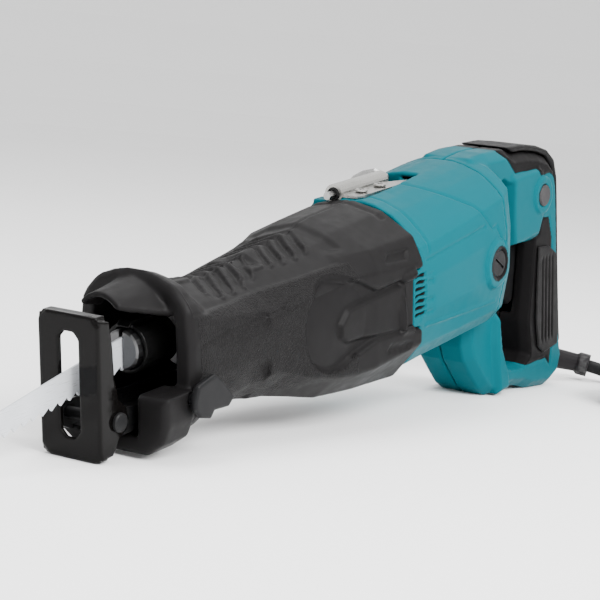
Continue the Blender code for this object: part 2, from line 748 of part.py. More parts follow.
def blade():
    """A coarse wood blade, 1.25 mm thick and canted a little towards its teeth."""
    top_root = (53, 17.6)
    top_tip = (-78, -4.5)
    nose = (-84, -11)
    teeth = []
    count = 18
    start, end = (40, -1.6), (-80, -17.2)
    for i in range(count):
        x = start[0] + (end[0] - start[0]) * i / count
        z = start[1] + (end[1] - start[1]) * i / count
        teeth += [(x, z), (x - 1.6, z + 2.6)]
    outline = [top_root, (53, 1.5), (44, 0.5), *teeth, end, nose, top_tip]
    return prism("XZ", mm_points(outline), -0.62 * MM, 0.62 * MM)


# ---- Shoe --------------------------------------------------------------------------------------


def shoe():
    """The pressed plate with a slot for the blade and two flanges that carry its pivot."""
    w, h = SHOE_HALF_WIDTH, SHOE_HALF_HEIGHT
    corner = 5 * MM
    outline = [(w - corner, h), (w, h - corner), (w, corner - h), (w - corner, -h),
               (corner - w, -h), (-w, corner - h), (-w, h - corner), (corner - w, h)]
    plate = prism("YZ", outline, 0, 2.6 * MM, 0.8 * MM)
    slot_outline = mm_points([(-6, 24), (-3, 27.5), (3, 27.5), (6, 24), (6, -22), (3, -25.5), (-3, -25.5), (-6, -22)])
    plate = cut(plate, prism("YZ", slot_outline, -5 * MM, 9 * MM))
    side_outline = mm_points(
        [(1, 35), (9, 33), (11, 20), (12, 4), (15, -7), (20.5, -12), (22, -18), (20.5, -23), (15, -27),
         (10, -34), (1, -35)]
    )
    flanges = [prism("XZ", side_outline, -18.8 * MM, -16.6 * MM), prism("XZ", side_outline, 16.6 * MM, 18.8 * MM)]
    rims = [box(mm(1, -16.8, 33.8), mm(8, 16.8, 36.2)), box(mm(1, -16.8, -36.2), mm(8, 16.8, -33.8))]
    bore = rod("Y", SHOE_PIN, 3.2 * MM, -30 * MM, 30 * MM, 14)
    return cut(fused(plate, *flanges, *rims), bore)


def shoe_pin():
    """The headed pin that the shoe tilts on."""
    profile = [(-21.2, 0.8), (-21.2, 4.2), (-20.6, 4.9), (-19.15, 4.9), (-19.15, 2.9), (19.2, 2.9), (19.2, 0.8)]
    solid = turned("Y", SHOE_PIN, mm_points(profile), 16)
    return fused(solid, rod("Y", SHOE_PIN, 1.2 * MM, -21.2 * MM, 19.2 * MM, 12))


def shoe_bracket():
    """The channel that slides under the nose and holds the shoe's pin."""
    floor = box(mm(17, -14.5, -27.6), mm(118, 14.5, -25.4))
    walls = []
    for side in (-1, 1):
        low, high = sorted((side * 12.6 * MM, side * 14.5 * MM))
        outline = mm_points(
            [(17, -27.6), (118, -27.6), (118, -19), (60, -17), (30, -15), (20, -12), (9, -12), (7.5, -18),
             (9, -24), (14, -26.6)]
        )
        walls.append(prism("XZ", outline, low, high))
    channel = fused(floor, *walls)
    return cut(channel, rod("Y", SHOE_PIN, 3.25 * MM, -30 * MM, 30 * MM, 14))


def shoe_lever():
    """The flap that clamps the shoe's bracket, with its pin."""
    outline = mm_points(
        [(44, -12), (47, -4.5), (61, -1.5), (66, -5), (77, -17), (72, -21), (60, -20), (57, -23.5), (48, -21),
         (44, -16)]
    )
    flap = prism("XZ", outline, -42.8 * MM, -38.9 * MM, 0.8 * MM)
    pin = rod("Y", LEVER_PIVOT, 2.9 * MM, -39.5 * MM, -20.5 * MM, 12)
    return fused(flap, pin)


# ---- Hook --------------------------------------------------------------------------------------


def hook_bracket():
    """The steel plate on the housing, curled into a tube along its right edge."""
    y, z = HOOK_AXIS
    barrel = tube("X", (y, z), 4.1 * MM, 5.8 * MM, 253 * MM, 304 * MM, 24)
    outline = [
        (253 * MM, y), (253 * MM, y - 15 * MM), (259 * MM, y - 17.6 * MM), (292 * MM, y - 17.6 * MM),
        (314 * MM, y - 15.5 * MM), (300 * MM, y - 7 * MM), (297 * MM, y),
    ]
    plate = prism("XY", outline, z - 1.1 * MM, z + 0.5 * MM)
    way = rod("X", (y, z), 4.1 * MM, 200 * MM, 300 * MM, 24)
    screws = [rod("Z", (x, HOOK_SCREW_Y), 2.3 * MM, 40 * MM, 60 * MM, 12) for x in HOOK_SCREWS]
    return cut(fused(barrel, plate), way, *screws)


HOOK_SCREWS = mm(265, 285)
HOOK_SCREW_Y = 2.5 * MM


def hook_screw(x):
    """A pan-headed screw with a cross recess, through the hook's plate."""
    top = HOOK_AXIS[1] + 0.85 * MM
    place = (x, HOOK_SCREW_Y)
    head = prism("XY", circle(place, 3.8 * MM, 16), top, top + 1.5 * MM, 0.5 * MM)
    shank = rod("Z", place, 1.9 * MM, top - 2.1 * MM, top + 0.5 * MM, 12)
    bar = 0.5 * MM
    reach = 2.1 * MM
    across = box((x - reach, HOOK_SCREW_Y - bar, top + 0.6 * MM), (x + reach, HOOK_SCREW_Y + bar, top + 3 * MM))
    along = box((x - bar, HOOK_SCREW_Y - reach, top + 0.6 * MM), (x + bar, HOOK_SCREW_Y + reach, top + 3 * MM))
    return cut(fused(head, shank), across, along)


def hook_bush():
    """The black bush in the tube's front end, which gives the hook its friction."""
    return tube("X", HOOK_AXIS, 2.7 * MM, 3.8 * MM, 252 * MM, 270 * MM, 16)


def hook_rod():
    """The wire hook: its shank turns in the tube, then it bends over the right shoulder and forwards."""
    y, z = HOOK_AXIS
    route = [
        (246 * MM, y, z), (306 * MM, y, z), mm(311.5, 15, 50.3), mm(314.2, 18.5, 50.8), mm(314.6, 24, 52.1),
        mm(314.6, 32, 49.9), mm(314.6, 38, 46.5), mm(314.6, 42.5, 41.9), mm(314.6, 47, 36.1), mm(314.6, 50.7, 31),
        mm(314.6, 51.6, 25),
        mm(314.6, 51.6, 8), mm(312.5, 51.6, 3), mm(307.5, 51.6, 1), mm(280, 51.6, 1), mm(275, 51.6, 3),
        mm(273, 51.6, 8), mm(273, 51.6, 18),
    ]
    return wire(route, 2.4 * MM, 2)


def wire(route, radius, resolution):
    """A round wire along a list of points, as a mesh."""
    holder = curve_object("wire", route, radius, resolution)
    bpy.context.view_layer.update()
    mesh = bpy.data.meshes.new_from_object(holder.evaluated_get(bpy.context.evaluated_depsgraph_get()))
    bpy.data.objects.remove(holder, do_unlink=True)
    welded = bmesh.new()
    welded.from_mesh(mesh)
    bmesh.ops.remove_doubles(welded, verts=welded.verts, dist=0.01 * MM)
    bmesh.ops.recalc_face_normals(welded, faces=welded.faces)
    welded.to_mesh(mesh)
    welded.free()
    return mesh


def curve_object(name, route, radius, resolution):
    """A round curve with filled ends through a list of points."""
    data = bpy.data.curves.new(name, "CURVE")
    data.dimensions = "3D"
    data.bevel_depth = radius
    data.bevel_resolution = resolution
    data.use_fill_caps = True
    spline = data.splines.new("POLY")
    spline.points.add(len(route) - 1)
    for point, place in zip(spline.points, route, strict=True):
        point.co = (*place, 1.0)
    made = bpy.data.objects.new(name, data)
    bpy.context.collection.objects.link(made)
    return made


# ---- Grip controls -----------------------------------------------------------------------------


def trigger():
    outline = mm_points(
        [(420, -10.5), (441.5, -9), (440, -30), (437, -48), (430, -50.5), (423, -45), (418.8, -32), (418, -19)]
    )
    return prism("XZ", outline, -7.8 * MM, 7.8 * MM, 1.6 * MM)


def switch_body():
    """The switch inside the grip."""
    return prism("XZ", mm_points([(447, -46), (465, -46), (464, 4), (447, 6)]), -11 * MM, 11 * MM, 1 * MM)


def lock_button():
    """The button that holds the trigger on, in its ring on the left of the grip."""
    head = rod("Y", LOCK_BUTTON, 7.0 * MM, -25.4 * MM, -18.5 * MM, 20, 0.8 * MM)
    stem = rod("Y", LOCK_BUTTON, 3.0 * MM, -19 * MM, -13 * MM, 12)
    return fused(head, stem)


# ---- The cord, in the world frame --------------------------------------------------------------

# The route's own points, chosen by hand: from inside the heel to the outside of the coil, and from
# the coil to the plug.
CORD_FLOOR = CORD_D / 2 + 0.1 * MM
CORD_ROUTE = [
    (0.2786, -0.0010, 0.0178), (0.2876, -0.0010, 0.0172), (0.2966, -0.0015, 0.0162), (0.3061, -0.0045, 0.0148),
    (0.3146, -0.0110, 0.0130), (0.3206, -0.0200, 0.0112), (0.3239, -0.0305, 0.0094), (0.3250, -0.0420, 0.0072),
    (0.3248, -0.0523, 0.0056), (0.3249, -0.0625, 0.0046), (0.3255, -0.0727, CORD_FLOOR),
    (0.3269, -0.0828, CORD_FLOOR), (0.3291, -0.0927, CORD_FLOOR), (0.3318, -0.1027, CORD_FLOOR),
]
TAIL_START = 190                      # degrees: the last, loose turn lies on the coil from here, clockwise
TAIL_END = -85
TAIL_HEIGHT = 33.3 * MM               # its centre line, clear of the tie's top
PLUG_HEIGHT = 36.0 * MM               # the plug's axis: it lies on the coil too
GUARD_PROFILE = (                     # share of the guard's length, outer radius in mm
    (0.0, 6.6), (0.18, 6.6), (0.19, 8.9), (0.25, 8.9), (0.34, 7.2), (0.84, 6.2), (0.88, 7.8), (1.0, 7.8),
)
GUARD_LENGTH = 54 * MM


def smooth(route, spacing):
    """Points at an even spacing along a smooth curve through the route's own points."""
    knots = [Vector(point) for point in route]
    ends = [2 * knots[0] - knots[1], *knots, 2 * knots[-1] - knots[-2]]
    fine = []
    for p0, p1, p2, p3 in zip(ends, ends[1:], ends[2:], ends[3:], strict=False):
        for step in range(16):
            t = step / 16
            bend = (2 * p0 - 5 * p1 + 4 * p2 - p3) * t * t + (3 * p1 - p0 - 3 * p2 + p3) * t**3
            fine.append((2 * p1 + (p2 - p0) * t + bend) / 2)
    fine.append(knots[-1])
    travelled = [0.0]
    for before, after in zip(fine, fine[1:], strict=False):
        travelled.append(travelled[-1] + (after - before).length)
    count = max(2, round(travelled[-1] / spacing))
    wanted = np.linspace(0, travelled[-1], count + 1)
    axes = [np.interp(wanted, travelled, [point[k] for point in fine]) for k in range(3)]
    return [Vector(point) for point in zip(*axes, strict=True)]


def hoop(points, i, radius, count=16):
    """A circle of points square to the route at its point i."""
    before = points[max(i - 1, 0)]
    after = points[min(i + 1, len(points) - 1)]
    along = (after - before).normalized()
    side = Vector((0, 0, 1)).cross(along).normalized()
    up = along.cross(side)
    made = []
    for k in range(count):
        angle = 2 * math.pi * k / count
        made.append(points[i] + radius * (math.cos(angle) * side + math.sin(angle) * up))
    return made


CORD_POINTS = smooth(CORD_ROUTE, 6 * MM)


def cord_guard():
    """The tapered sleeve that keeps the cord from kinking where it leaves the heel."""
    count = round(GUARD_LENGTH / (6 * MM))
    dense = smooth(CORD_POINTS[: count + 1], 1 * MM)
    outer = []
    for share, radius in GUARD_PROFILE:
        outer.append(hoop(dense, round(share * (len(dense) - 1)), radius * MM))
    inner = [hoop(dense, i, CORD_D / 2 + 0.5 * MM) for i in range(len(dense) - 1, -1, -4)]
    if (len(dense) - 1) % 4:
        inner.append(hoop(dense, 0, CORD_D / 2 + 0.5 * MM))
    made = loft(outer + inner, closed=True)
    skin = bmesh.new()
    skin.from_mesh(made)
    bmesh.ops.triangulate(skin, faces=skin.faces)
    skin.to_mesh(made)
    skin.free()
    return made


def arc_points(centre, radius, start, end, step=60):
    count = round((end - start) / step)
    made = []
    for i in range(count + 1):
        angle = math.radians(start + (end - start) * i / count)
        made.append((centre[0] + radius * math.cos(angle), centre[1] + radius * math.sin(angle)))
    return made


def coil_profile():
    """The outline round the coil's turns in section, as a closed loop of (height, radius)."""
    r = CORD_D / 2
    columns = [COIL_INNER + i * COIL_PITCH for i in range(COIL_COLUMNS)]
    low = COIL_BASE + r
    high = low + (COIL_LAYERS - 1) * COIL_PITCH
    made = arc_points((columns[0], low), r, 150, 330)
    for column in columns[1:-1]:
        made += arc_points((column, low), r, 210, 330)
    made += arc_points((columns[-1], low), r, 210, 390)
    made += arc_points((columns[-1], high), r, -30, 150)
    for column in reversed(columns[1:-1]):
        made += arc_points((column, high), r, 30, 150)
    made += arc_points((columns[0], high), r, 30, 210)
    return [(height, radius) for radius, height in made]


def cord_coil():
    return turned("Z", COIL_CENTRE, coil_profile(), 40)


def coil_tie():
    """A strap round the coil's turns."""
    inside = COIL_INNER - CORD_D / 2
    outside = COIL_INNER + (COIL_COLUMNS - 1) * COIL_PITCH + CORD_D / 2
    top = COIL_BASE + CORD_D + (COIL_LAYERS - 1) * COIL_PITCH
    x, y = COIL_CENTRE
    loops = []
    for edge, low, high in ((1.3 * MM, 0.1 * MM, top + 1.2 * MM), (0.4 * MM, 0.7 * MM, top + 0.4 * MM)):
        loops.append(box((x - outside - edge, y - 4.5 * MM, low), (x - inside + edge, y + 4.5 * MM, high)))
    band, way = loops
    way.transform(Matrix.Translation((x, y, 0)) @ Matrix.Diagonal((1, 3, 1, 1)) @ Matrix.Translation((-x, -y, 0)))
    return cut(band, way)


def rounded_rectangle(half_width, half_height, corner):
    """Sixteen points round a rectangle with rounded corners."""
    made = []
    for k, (sy, sz) in enumerate(((1, 1), (-1, 1), (-1, -1), (1, -1))):
        centre = (sy * (half_width - corner), sz * (half_height - corner))
        made += arc_points(centre, corner, 90 * k, 90 * k + 90, 30)
    return made


PLUG_SECTIONS = (                     # along the plug: half width, half height and corner, all in mm
    (0.9, 6.0, 6.0, 5.9), (10, 6.6, 6.4, 5.9), (12, 9.5, 7.6, 5), (17, 11.6, 8.2, 4.5),
    (40, 12.2, 8.3, 4), (46, 11.4, 8.0, 4),
)


def tail_points():
    """The loose turn on top of the coil, which rises at its end to the plug's axis."""
    made = []
    for angle in range(TAIL_START, TAIL_END - 1, -11):
        rise = max(0.0, (TAIL_END + 110 - angle) / 110)
        rise = rise * rise * (3 - 2 * rise)
        x = COIL_CENTRE[0] + COIL_INNER * math.cos(math.radians(angle))
        y = COIL_CENTRE[1] + COIL_INNER * math.sin(math.radians(angle))
        made.append(Vector((x, y, TAIL_HEIGHT + (PLUG_HEIGHT - TAIL_HEIGHT) * rise)))
    return made


def plug_place():
    """Where the plug's own frame stands: its axis runs on from the end of the cord."""
    x, y, z = tail_points()[-1]
    return Matrix.Translation((x, y, z)) @ Matrix.Rotation(math.radians(TAIL_END - 90), 4, "Z")


def plug_body():
    loops = []
    for along, half_width, half_height, corner in PLUG_SECTIONS:
        drawn = rounded_rectangle(half_width * MM, half_height * MM, corner * MM)
        loops.append([(along * MM, y, z) for y, z in drawn])
    slots = [box(mm(40, y - 1.1, -3.5), mm(60, y + 1.1, 3.5)) for y in (-6.35, 6.35)]
    body = cut(loft(loops), *slots)
    body.transform(plug_place())
    return body


def plug_blade(y):
    """A flat contact blade, its end bevelled."""
    outline = mm_points([(40.5, -3.1), (61, -3.1), (63, -1.6), (63, 1.6), (61, 3.1), (40.5, 3.1)])
    blade_mesh = prism("XZ", outline, (y - 0.75) * MM, (y + 0.75) * MM)
    blade_mesh.transform(plug_place())
    return blade_mesh


def world_piece(name, mesh, material):
    """A named object whose mesh is drawn in the world frame."""
    made = piece(name, mesh, material)
    made.parent = None
    return made


def cord_tube(name, points):
    made = curve_object(name, points, CORD_D / 2, 2)
    made.data.materials.append(CORD_BLACK)
    return made


# ---- Assembly ----------------------------------------------------------------------------------


def build_casings():
    piece("nose_boot", nose_boot(), RUBBER)
    piece("gear_housing", gear_housing(), ALUMINIUM)
    piece("gear_housing_cover", gear_housing_cover(), ALUMINIUM)
    piece("guide_sleeve", tube("X", (0, PLUNGER_Z), 7.85 * MM, 12 * MM, 97 * MM, 118 * MM), BRONZE)
    piece("oil_seal", tube("X", (0, PLUNGER_Z), 7.9 * MM, 12 * MM, 92.3 * MM, 96.5 * MM), RUBBER)
    piece("motor_housing", motor_housing(), TEAL)
    shell = handle_shell()
    piece("handle_right", handle_half(shell, 1), TEAL)
    piece("handle_left", handle_half(shell, -1), TEAL)
    piece("grip_cover", grip_cover(), RUBBER)
    piece("grip_pad_left", grip_pad(-1), RUBBER)
    piece("grip_pad_right", grip_pad(1), RUBBER)
    for i, place in enumerate(SCREWS):
        piece(f"handle_screw_{i + 1}", handle_screw(place), STEEL)


def build_motor():
    piece("stator_core", stator(), LAMINATION)
    piece("field_winding_front", field_winding(260 * MM, 267.6 * MM), COPPER)
    piece("field_winding_rear", field_winding(308.4 * MM, 317 * MM), COPPER)
    piece("fan_baffle", tube("X", (0, 0), 26 * MM, 40.5 * MM, 257 * MM, 258.8 * MM, 24), BLACK)
    for side, word in ((-1, "left"), (1, "right")):
        piece(f"brush_holder_{word}", brush_holder(side), BRONZE)
        piece(f"brush_{word}", brush(side), CARBON)
        piece(f"brush_cap_{word}", brush_cap(side), BLACK)
    shaft_bore = 4.6 * MM + GAP
    piece("front_bearing", ball_bearing("X", (0, 0), shaft_bore, 11 * MM, 236.8 * MM, 241.6 * MM), STEEL)
    piece("rear_bearing", ball_bearing("X", (0, 0), shaft_bore, 9.5 * MM, 356 * MM, 363 * MM), STEEL)
    piece("armature_shaft", armature_shaft(), STEEL, "armature_axis")
    piece("armature_core", armature_core(), LAMINATION, "armature_axis")
    piece("armature_winding_front", armature_windings(259.5 * MM, 267.6 * MM), COPPER, "armature_axis")
    piece("armature_winding_rear", armature_windings(308.4 * MM, 318 * MM), COPPER, "armature_axis")
    piece("commutator", commutator(), COPPER, "armature_axis")
    piece("fan", fan(), BLACK, "armature_axis")
    piece("pinion", pinion(), STEEL, "armature_axis")


def build_drive():
    piece("crank_bearing", ball_bearing("Y", (CRANK_X, 0), 6.4 * MM, 11 * MM, 24.6 * MM, 31 * MM), STEEL)
    piece("crank_gear", crank_gear(), STEEL, "crank_axis")
    piece("crank_pin", crank_pin(), STEEL, "crank_axis")
    piece("plunger", plunger(), STEEL, "plunger_axis")
    piece("clamp_body", clamp_body(), STEEL, "plunger_axis")
    piece("blade", blade(), BLADE_WHITE, "plunger_axis")
    piece("clamp_sleeve", clamp_sleeve(), BLACK_STEEL, "clamp_axis")


def build_shoe():
    piece("shoe_bracket", shoe_bracket(), STEEL, "shoe_slide_axis")
    piece("shoe_pin", shoe_pin(), STEEL, "shoe_slide_axis")
    piece("shoe", shoe(), BLACK_STEEL, "shoe_axis")
    piece("shoe_lever", shoe_lever(), BLACK, "lever_axis")


def build_controls():
    piece("switch_body", switch_body(), BLACK)
    piece("trigger", trigger(), BLACK, "trigger_axis")
    piece("lock_button", lock_button(), GREY, "lock_axis")


def build_hook():
    piece("hook_bracket", hook_bracket(), STEEL)
    piece("hook_bush", hook_bush(), BLACK)
    for i, x in enumerate(HOOK_SCREWS):
        piece(f"hook_screw_{i + 1}", hook_screw(x), STEEL)
    piece("hook_rod", hook_rod(), STEEL, "hook_axis")


def build_cord():
    world_piece("cord_guard", cord_guard(), RUBBER)
    cord_tube("cord", CORD_POINTS)
    world_piece("cord_coil", cord_coil(), CORD_BLACK)
    world_piece("coil_tie", coil_tie(), BLACK)
    cord_tube("cord_tail", tail_points())
    world_piece("plug_body", plug_body(), CORD_BLACK)
    world_piece("plug_blade_1", plug_blade(-6.35), STEEL)
    world_piece("plug_blade_2", plug_blade(6.35), STEEL)


build_casings()
build_motor()
build_drive()
build_shoe()
build_controls()
build_hook()
build_cord()
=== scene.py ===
"""The looks of a corded reciprocating saw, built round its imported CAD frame.

Shapes are drawn in the tool's own frame in millimetres: the origin is the centre of the shoe's face,
+X runs back to the handle, -Y is the left side and +Z is the top. The joints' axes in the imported
record say where that frame stands.
"""

import json
import math

import bmesh
import bpy
import numpy as np
from mathutils import Matrix, Vector


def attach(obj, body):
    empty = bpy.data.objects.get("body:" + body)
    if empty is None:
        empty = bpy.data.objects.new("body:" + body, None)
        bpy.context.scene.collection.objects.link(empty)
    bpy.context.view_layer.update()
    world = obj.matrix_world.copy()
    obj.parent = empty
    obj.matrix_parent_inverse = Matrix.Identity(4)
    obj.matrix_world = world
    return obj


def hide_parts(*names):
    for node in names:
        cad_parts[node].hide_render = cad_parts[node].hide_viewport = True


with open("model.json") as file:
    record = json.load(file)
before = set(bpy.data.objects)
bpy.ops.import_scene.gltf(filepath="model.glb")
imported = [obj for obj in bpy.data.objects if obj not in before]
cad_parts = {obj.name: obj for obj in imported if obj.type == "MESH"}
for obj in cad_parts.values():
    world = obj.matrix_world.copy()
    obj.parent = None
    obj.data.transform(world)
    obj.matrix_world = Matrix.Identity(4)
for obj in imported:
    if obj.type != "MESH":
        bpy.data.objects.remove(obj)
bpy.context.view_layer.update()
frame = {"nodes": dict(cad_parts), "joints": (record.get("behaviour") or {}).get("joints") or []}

MM = 0.001
JOINTS = {joint["name"]: joint for joint in frame["joints"]}
CRANK_X = 165.0                       # the crank's axis crosses the tool's axis here
BACK = Vector(JOINTS["armature_spin"]["axis"]).normalized()
LEFT_TO_RIGHT = Vector((0, 1, 0))
UP = BACK.cross(LEFT_TO_RIGHT)
ORIGIN = Vector(JOINTS["crank_spin"]["pos_m"]) - BACK * CRANK_X * MM
AXES = np.array((BACK, LEFT_TO_RIGHT, UP)).T
TOOL = Matrix.Translation(ORIGIN) @ Matrix((BACK, LEFT_TO_RIGHT, UP)).transposed().to_4x4()
TOOL_MM = TOOL @ Matrix.Scale(MM, 4)
PITCH = math.atan2(BACK.z, BACK.x)


def place(x, y, z):
    """A point of the tool's frame, in world metres."""
    return TOOL_MM @ Vector((x, y, z))


# ---- Camera, cord ------------------------------------------------------------------------------


CAMERA_LENS = 123
CAMERA_PLACE = (-717.3, -617.3, 284.3)             # these three in the tool's frame
CAMERA_FORWARD = (0.80299, 0.54162, -0.24869)
CAMERA_UP = (0.20617, 0.13907, 0.96858)


def add_camera():
    """A long lens from the front left, a little above the tool."""
    data = bpy.data.cameras.new("camera")
    data.lens = CAMERA_LENS
    data.sensor_width = 36
    data.clip_start = 0.01
    made = bpy.data.objects.new("camera", data)
    bpy.context.scene.collection.objects.link(made)
    eye = place(*CAMERA_PLACE)
    forward = (TOOL.to_3x3() @ Vector(CAMERA_FORWARD)).normalized()
    above = TOOL.to_3x3() @ Vector(CAMERA_UP)
    side = forward.cross(above).normalized()
    above = side.cross(forward)
    turn = Matrix((side, above, -forward)).transposed().to_4x4()
    made.matrix_world = Matrix.Translation(eye) @ turn
    bpy.context.scene.camera = made


add_camera()

CORD_D = 0.0086
CORD_FLOOR = CORD_D / 2 + 0.0001
COIL_CENTRE = Vector((0.2722, -0.1187))
COIL_PITCH = 0.0087
COIL_LOW = 0.0010 + CORD_D / 2
COIL_RADIUS = 0.0350                  # of the innermost turns
TAIL_HEIGHT = 0.0333
PLUG_HEIGHT = 0.0360
CORD_ROUTE = [
    (0.2786, -0.0010, 0.0178), (0.2876, -0.0010, 0.0172), (0.2966, -0.0015, 0.0162),
    (0.3061, -0.0045, 0.0148), (0.3146, -0.0110, 0.0130), (0.3206, -0.0200, 0.0112),
    (0.3239, -0.0305, 0.0094), (0.3250, -0.0420, 0.0072), (0.3248, -0.0523, 0.0056),
    (0.3249, -0.0625, 0.0046), (0.3255, -0.0727, CORD_FLOOR), (0.3269, -0.0828, CORD_FLOOR),
    (0.3291, -0.0927, CORD_FLOOR), (0.3318, -0.1027, CORD_FLOOR),
]
# The winding, as degrees turned clockwise from where the cord meets it: (start, end, change) of the
# radius in pitches and of the height in metres. The turns lie in three columns and three layers.
WIDENING = (
    (360, 490, -1), (720, 850, -1), (1190, 1320, 1), (1550, 1680, 1), (2020, 2150, -1), (2380, 2510, -1),
)
RISING = (
    (0, 130, COIL_LOW - CORD_FLOOR), (960, 1080, COIL_PITCH), (1790, 1910, COIL_PITCH),
    (2620, 2740, TAIL_HEIGHT - COIL_LOW - 2 * COIL_PITCH), (2870, 2980, PLUG_HEIGHT - TAIL_HEIGHT),
)
WOUND = 2980                          # degrees from the coil's start to the plug
WINDING_STEP = 7.5
SETTLED = 80                          # degrees in which the cord comes in to the outermost turn
FLAT_SIDE = 113                       # the coil lies a little flattened towards here, in world degrees
FLAT_SPAN = 60                        # degrees to each side of that
FLATTENING = 0.0019


def smooth(route, spacing):
    """Points at an even spacing along a smooth curve through the route's own points."""
    knots = [Vector(point) for point in route]
    ends = [2 * knots[0] - knots[1], *knots, 2 * knots[-1] - knots[-2]]
    fine = []
    for p0, p1, p2, p3 in zip(ends, ends[1:], ends[2:], ends[3:], strict=False):
        for step in range(16):
            t = step / 16
            bend = (2 * p0 - 5 * p1 + 4 * p2 - p3) * t * t + (3 * p1 - p0 - 3 * p2 + p3) * t**3
            fine.append((2 * p1 + (p2 - p0) * t + bend) / 2)
    fine.append(knots[-1])
    travelled = [0.0]
    for before, after in zip(fine, fine[1:], strict=False):
        travelled.append(travelled[-1] + (after - before).length)
    count = max(2, round(travelled[-1] / spacing))
    wanted = np.linspace(0, travelled[-1], count + 1)
    axes = [np.interp(wanted, travelled, [point[k] for point in fine]) for k in range(3)]
    return [Vector(point) for point in zip(*axes, strict=True)]


def ease(value, start, end):
    """0 before start, 1 after end and a smooth step between."""
    t = min(max((value - start) / (end - start), 0.0), 1.0)
    return t * t * (3 - 2 * t)


def coil_points():
    """The wound length, from where the cord reaches the coil to the plug that lies on it."""
    arrive = Vector(CORD_ROUTE[-1]).xy - COIL_CENTRE
    start = math.degrees(math.atan2(arrive.y, arrive.x))
    outermost = COIL_RADIUS + 2 * COIL_PITCH
    made = []
    for step in range(1, round(WOUND / WINDING_STEP) + 1):
        s = WINDING_STEP * step
        radius = outermost + (arrive.length - outermost) * (1 - ease(s, 0, SETTLED))
        radius += COIL_PITCH * sum(change * ease(s, a, b) for a, b, change in WIDENING)
        from_flat = abs((start - s - FLAT_SIDE + 180) % 360 - 180)
        radius -= FLATTENING * (1 - ease(from_flat, 0, FLAT_SPAN))
        z = CORD_FLOOR + sum(change * ease(s, a, b) for a, b, change in RISING)
        angle = math.radians(start - s)
        across = COIL_CENTRE + radius * Vector((math.cos(angle), math.sin(angle)))
        made.append(Vector((*across, z)))
    return made


def curve_object(name, route, radius, material, resolution=4):
    """A round curve with filled ends through a list of points."""
    data = bpy.data.curves.new(name, "CURVE")
    data.dimensions = "3D"
    data.bevel_depth = radius
    data.bevel_resolution = resolution
    data.use_fill_caps = True
    spline = data.splines.new("POLY")
    spline.points.add(len(route) - 1)
    for point, where in zip(spline.points, route, strict=True):
        point.co = (*where, 1.0)
    spline.use_smooth = True
    data.materials.append(material)
    made = bpy.data.objects.new(name, data)
    bpy.context.scene.collection.objects.link(made)
    return made


# ---- Materials ---------------------------------------------------------------------------------


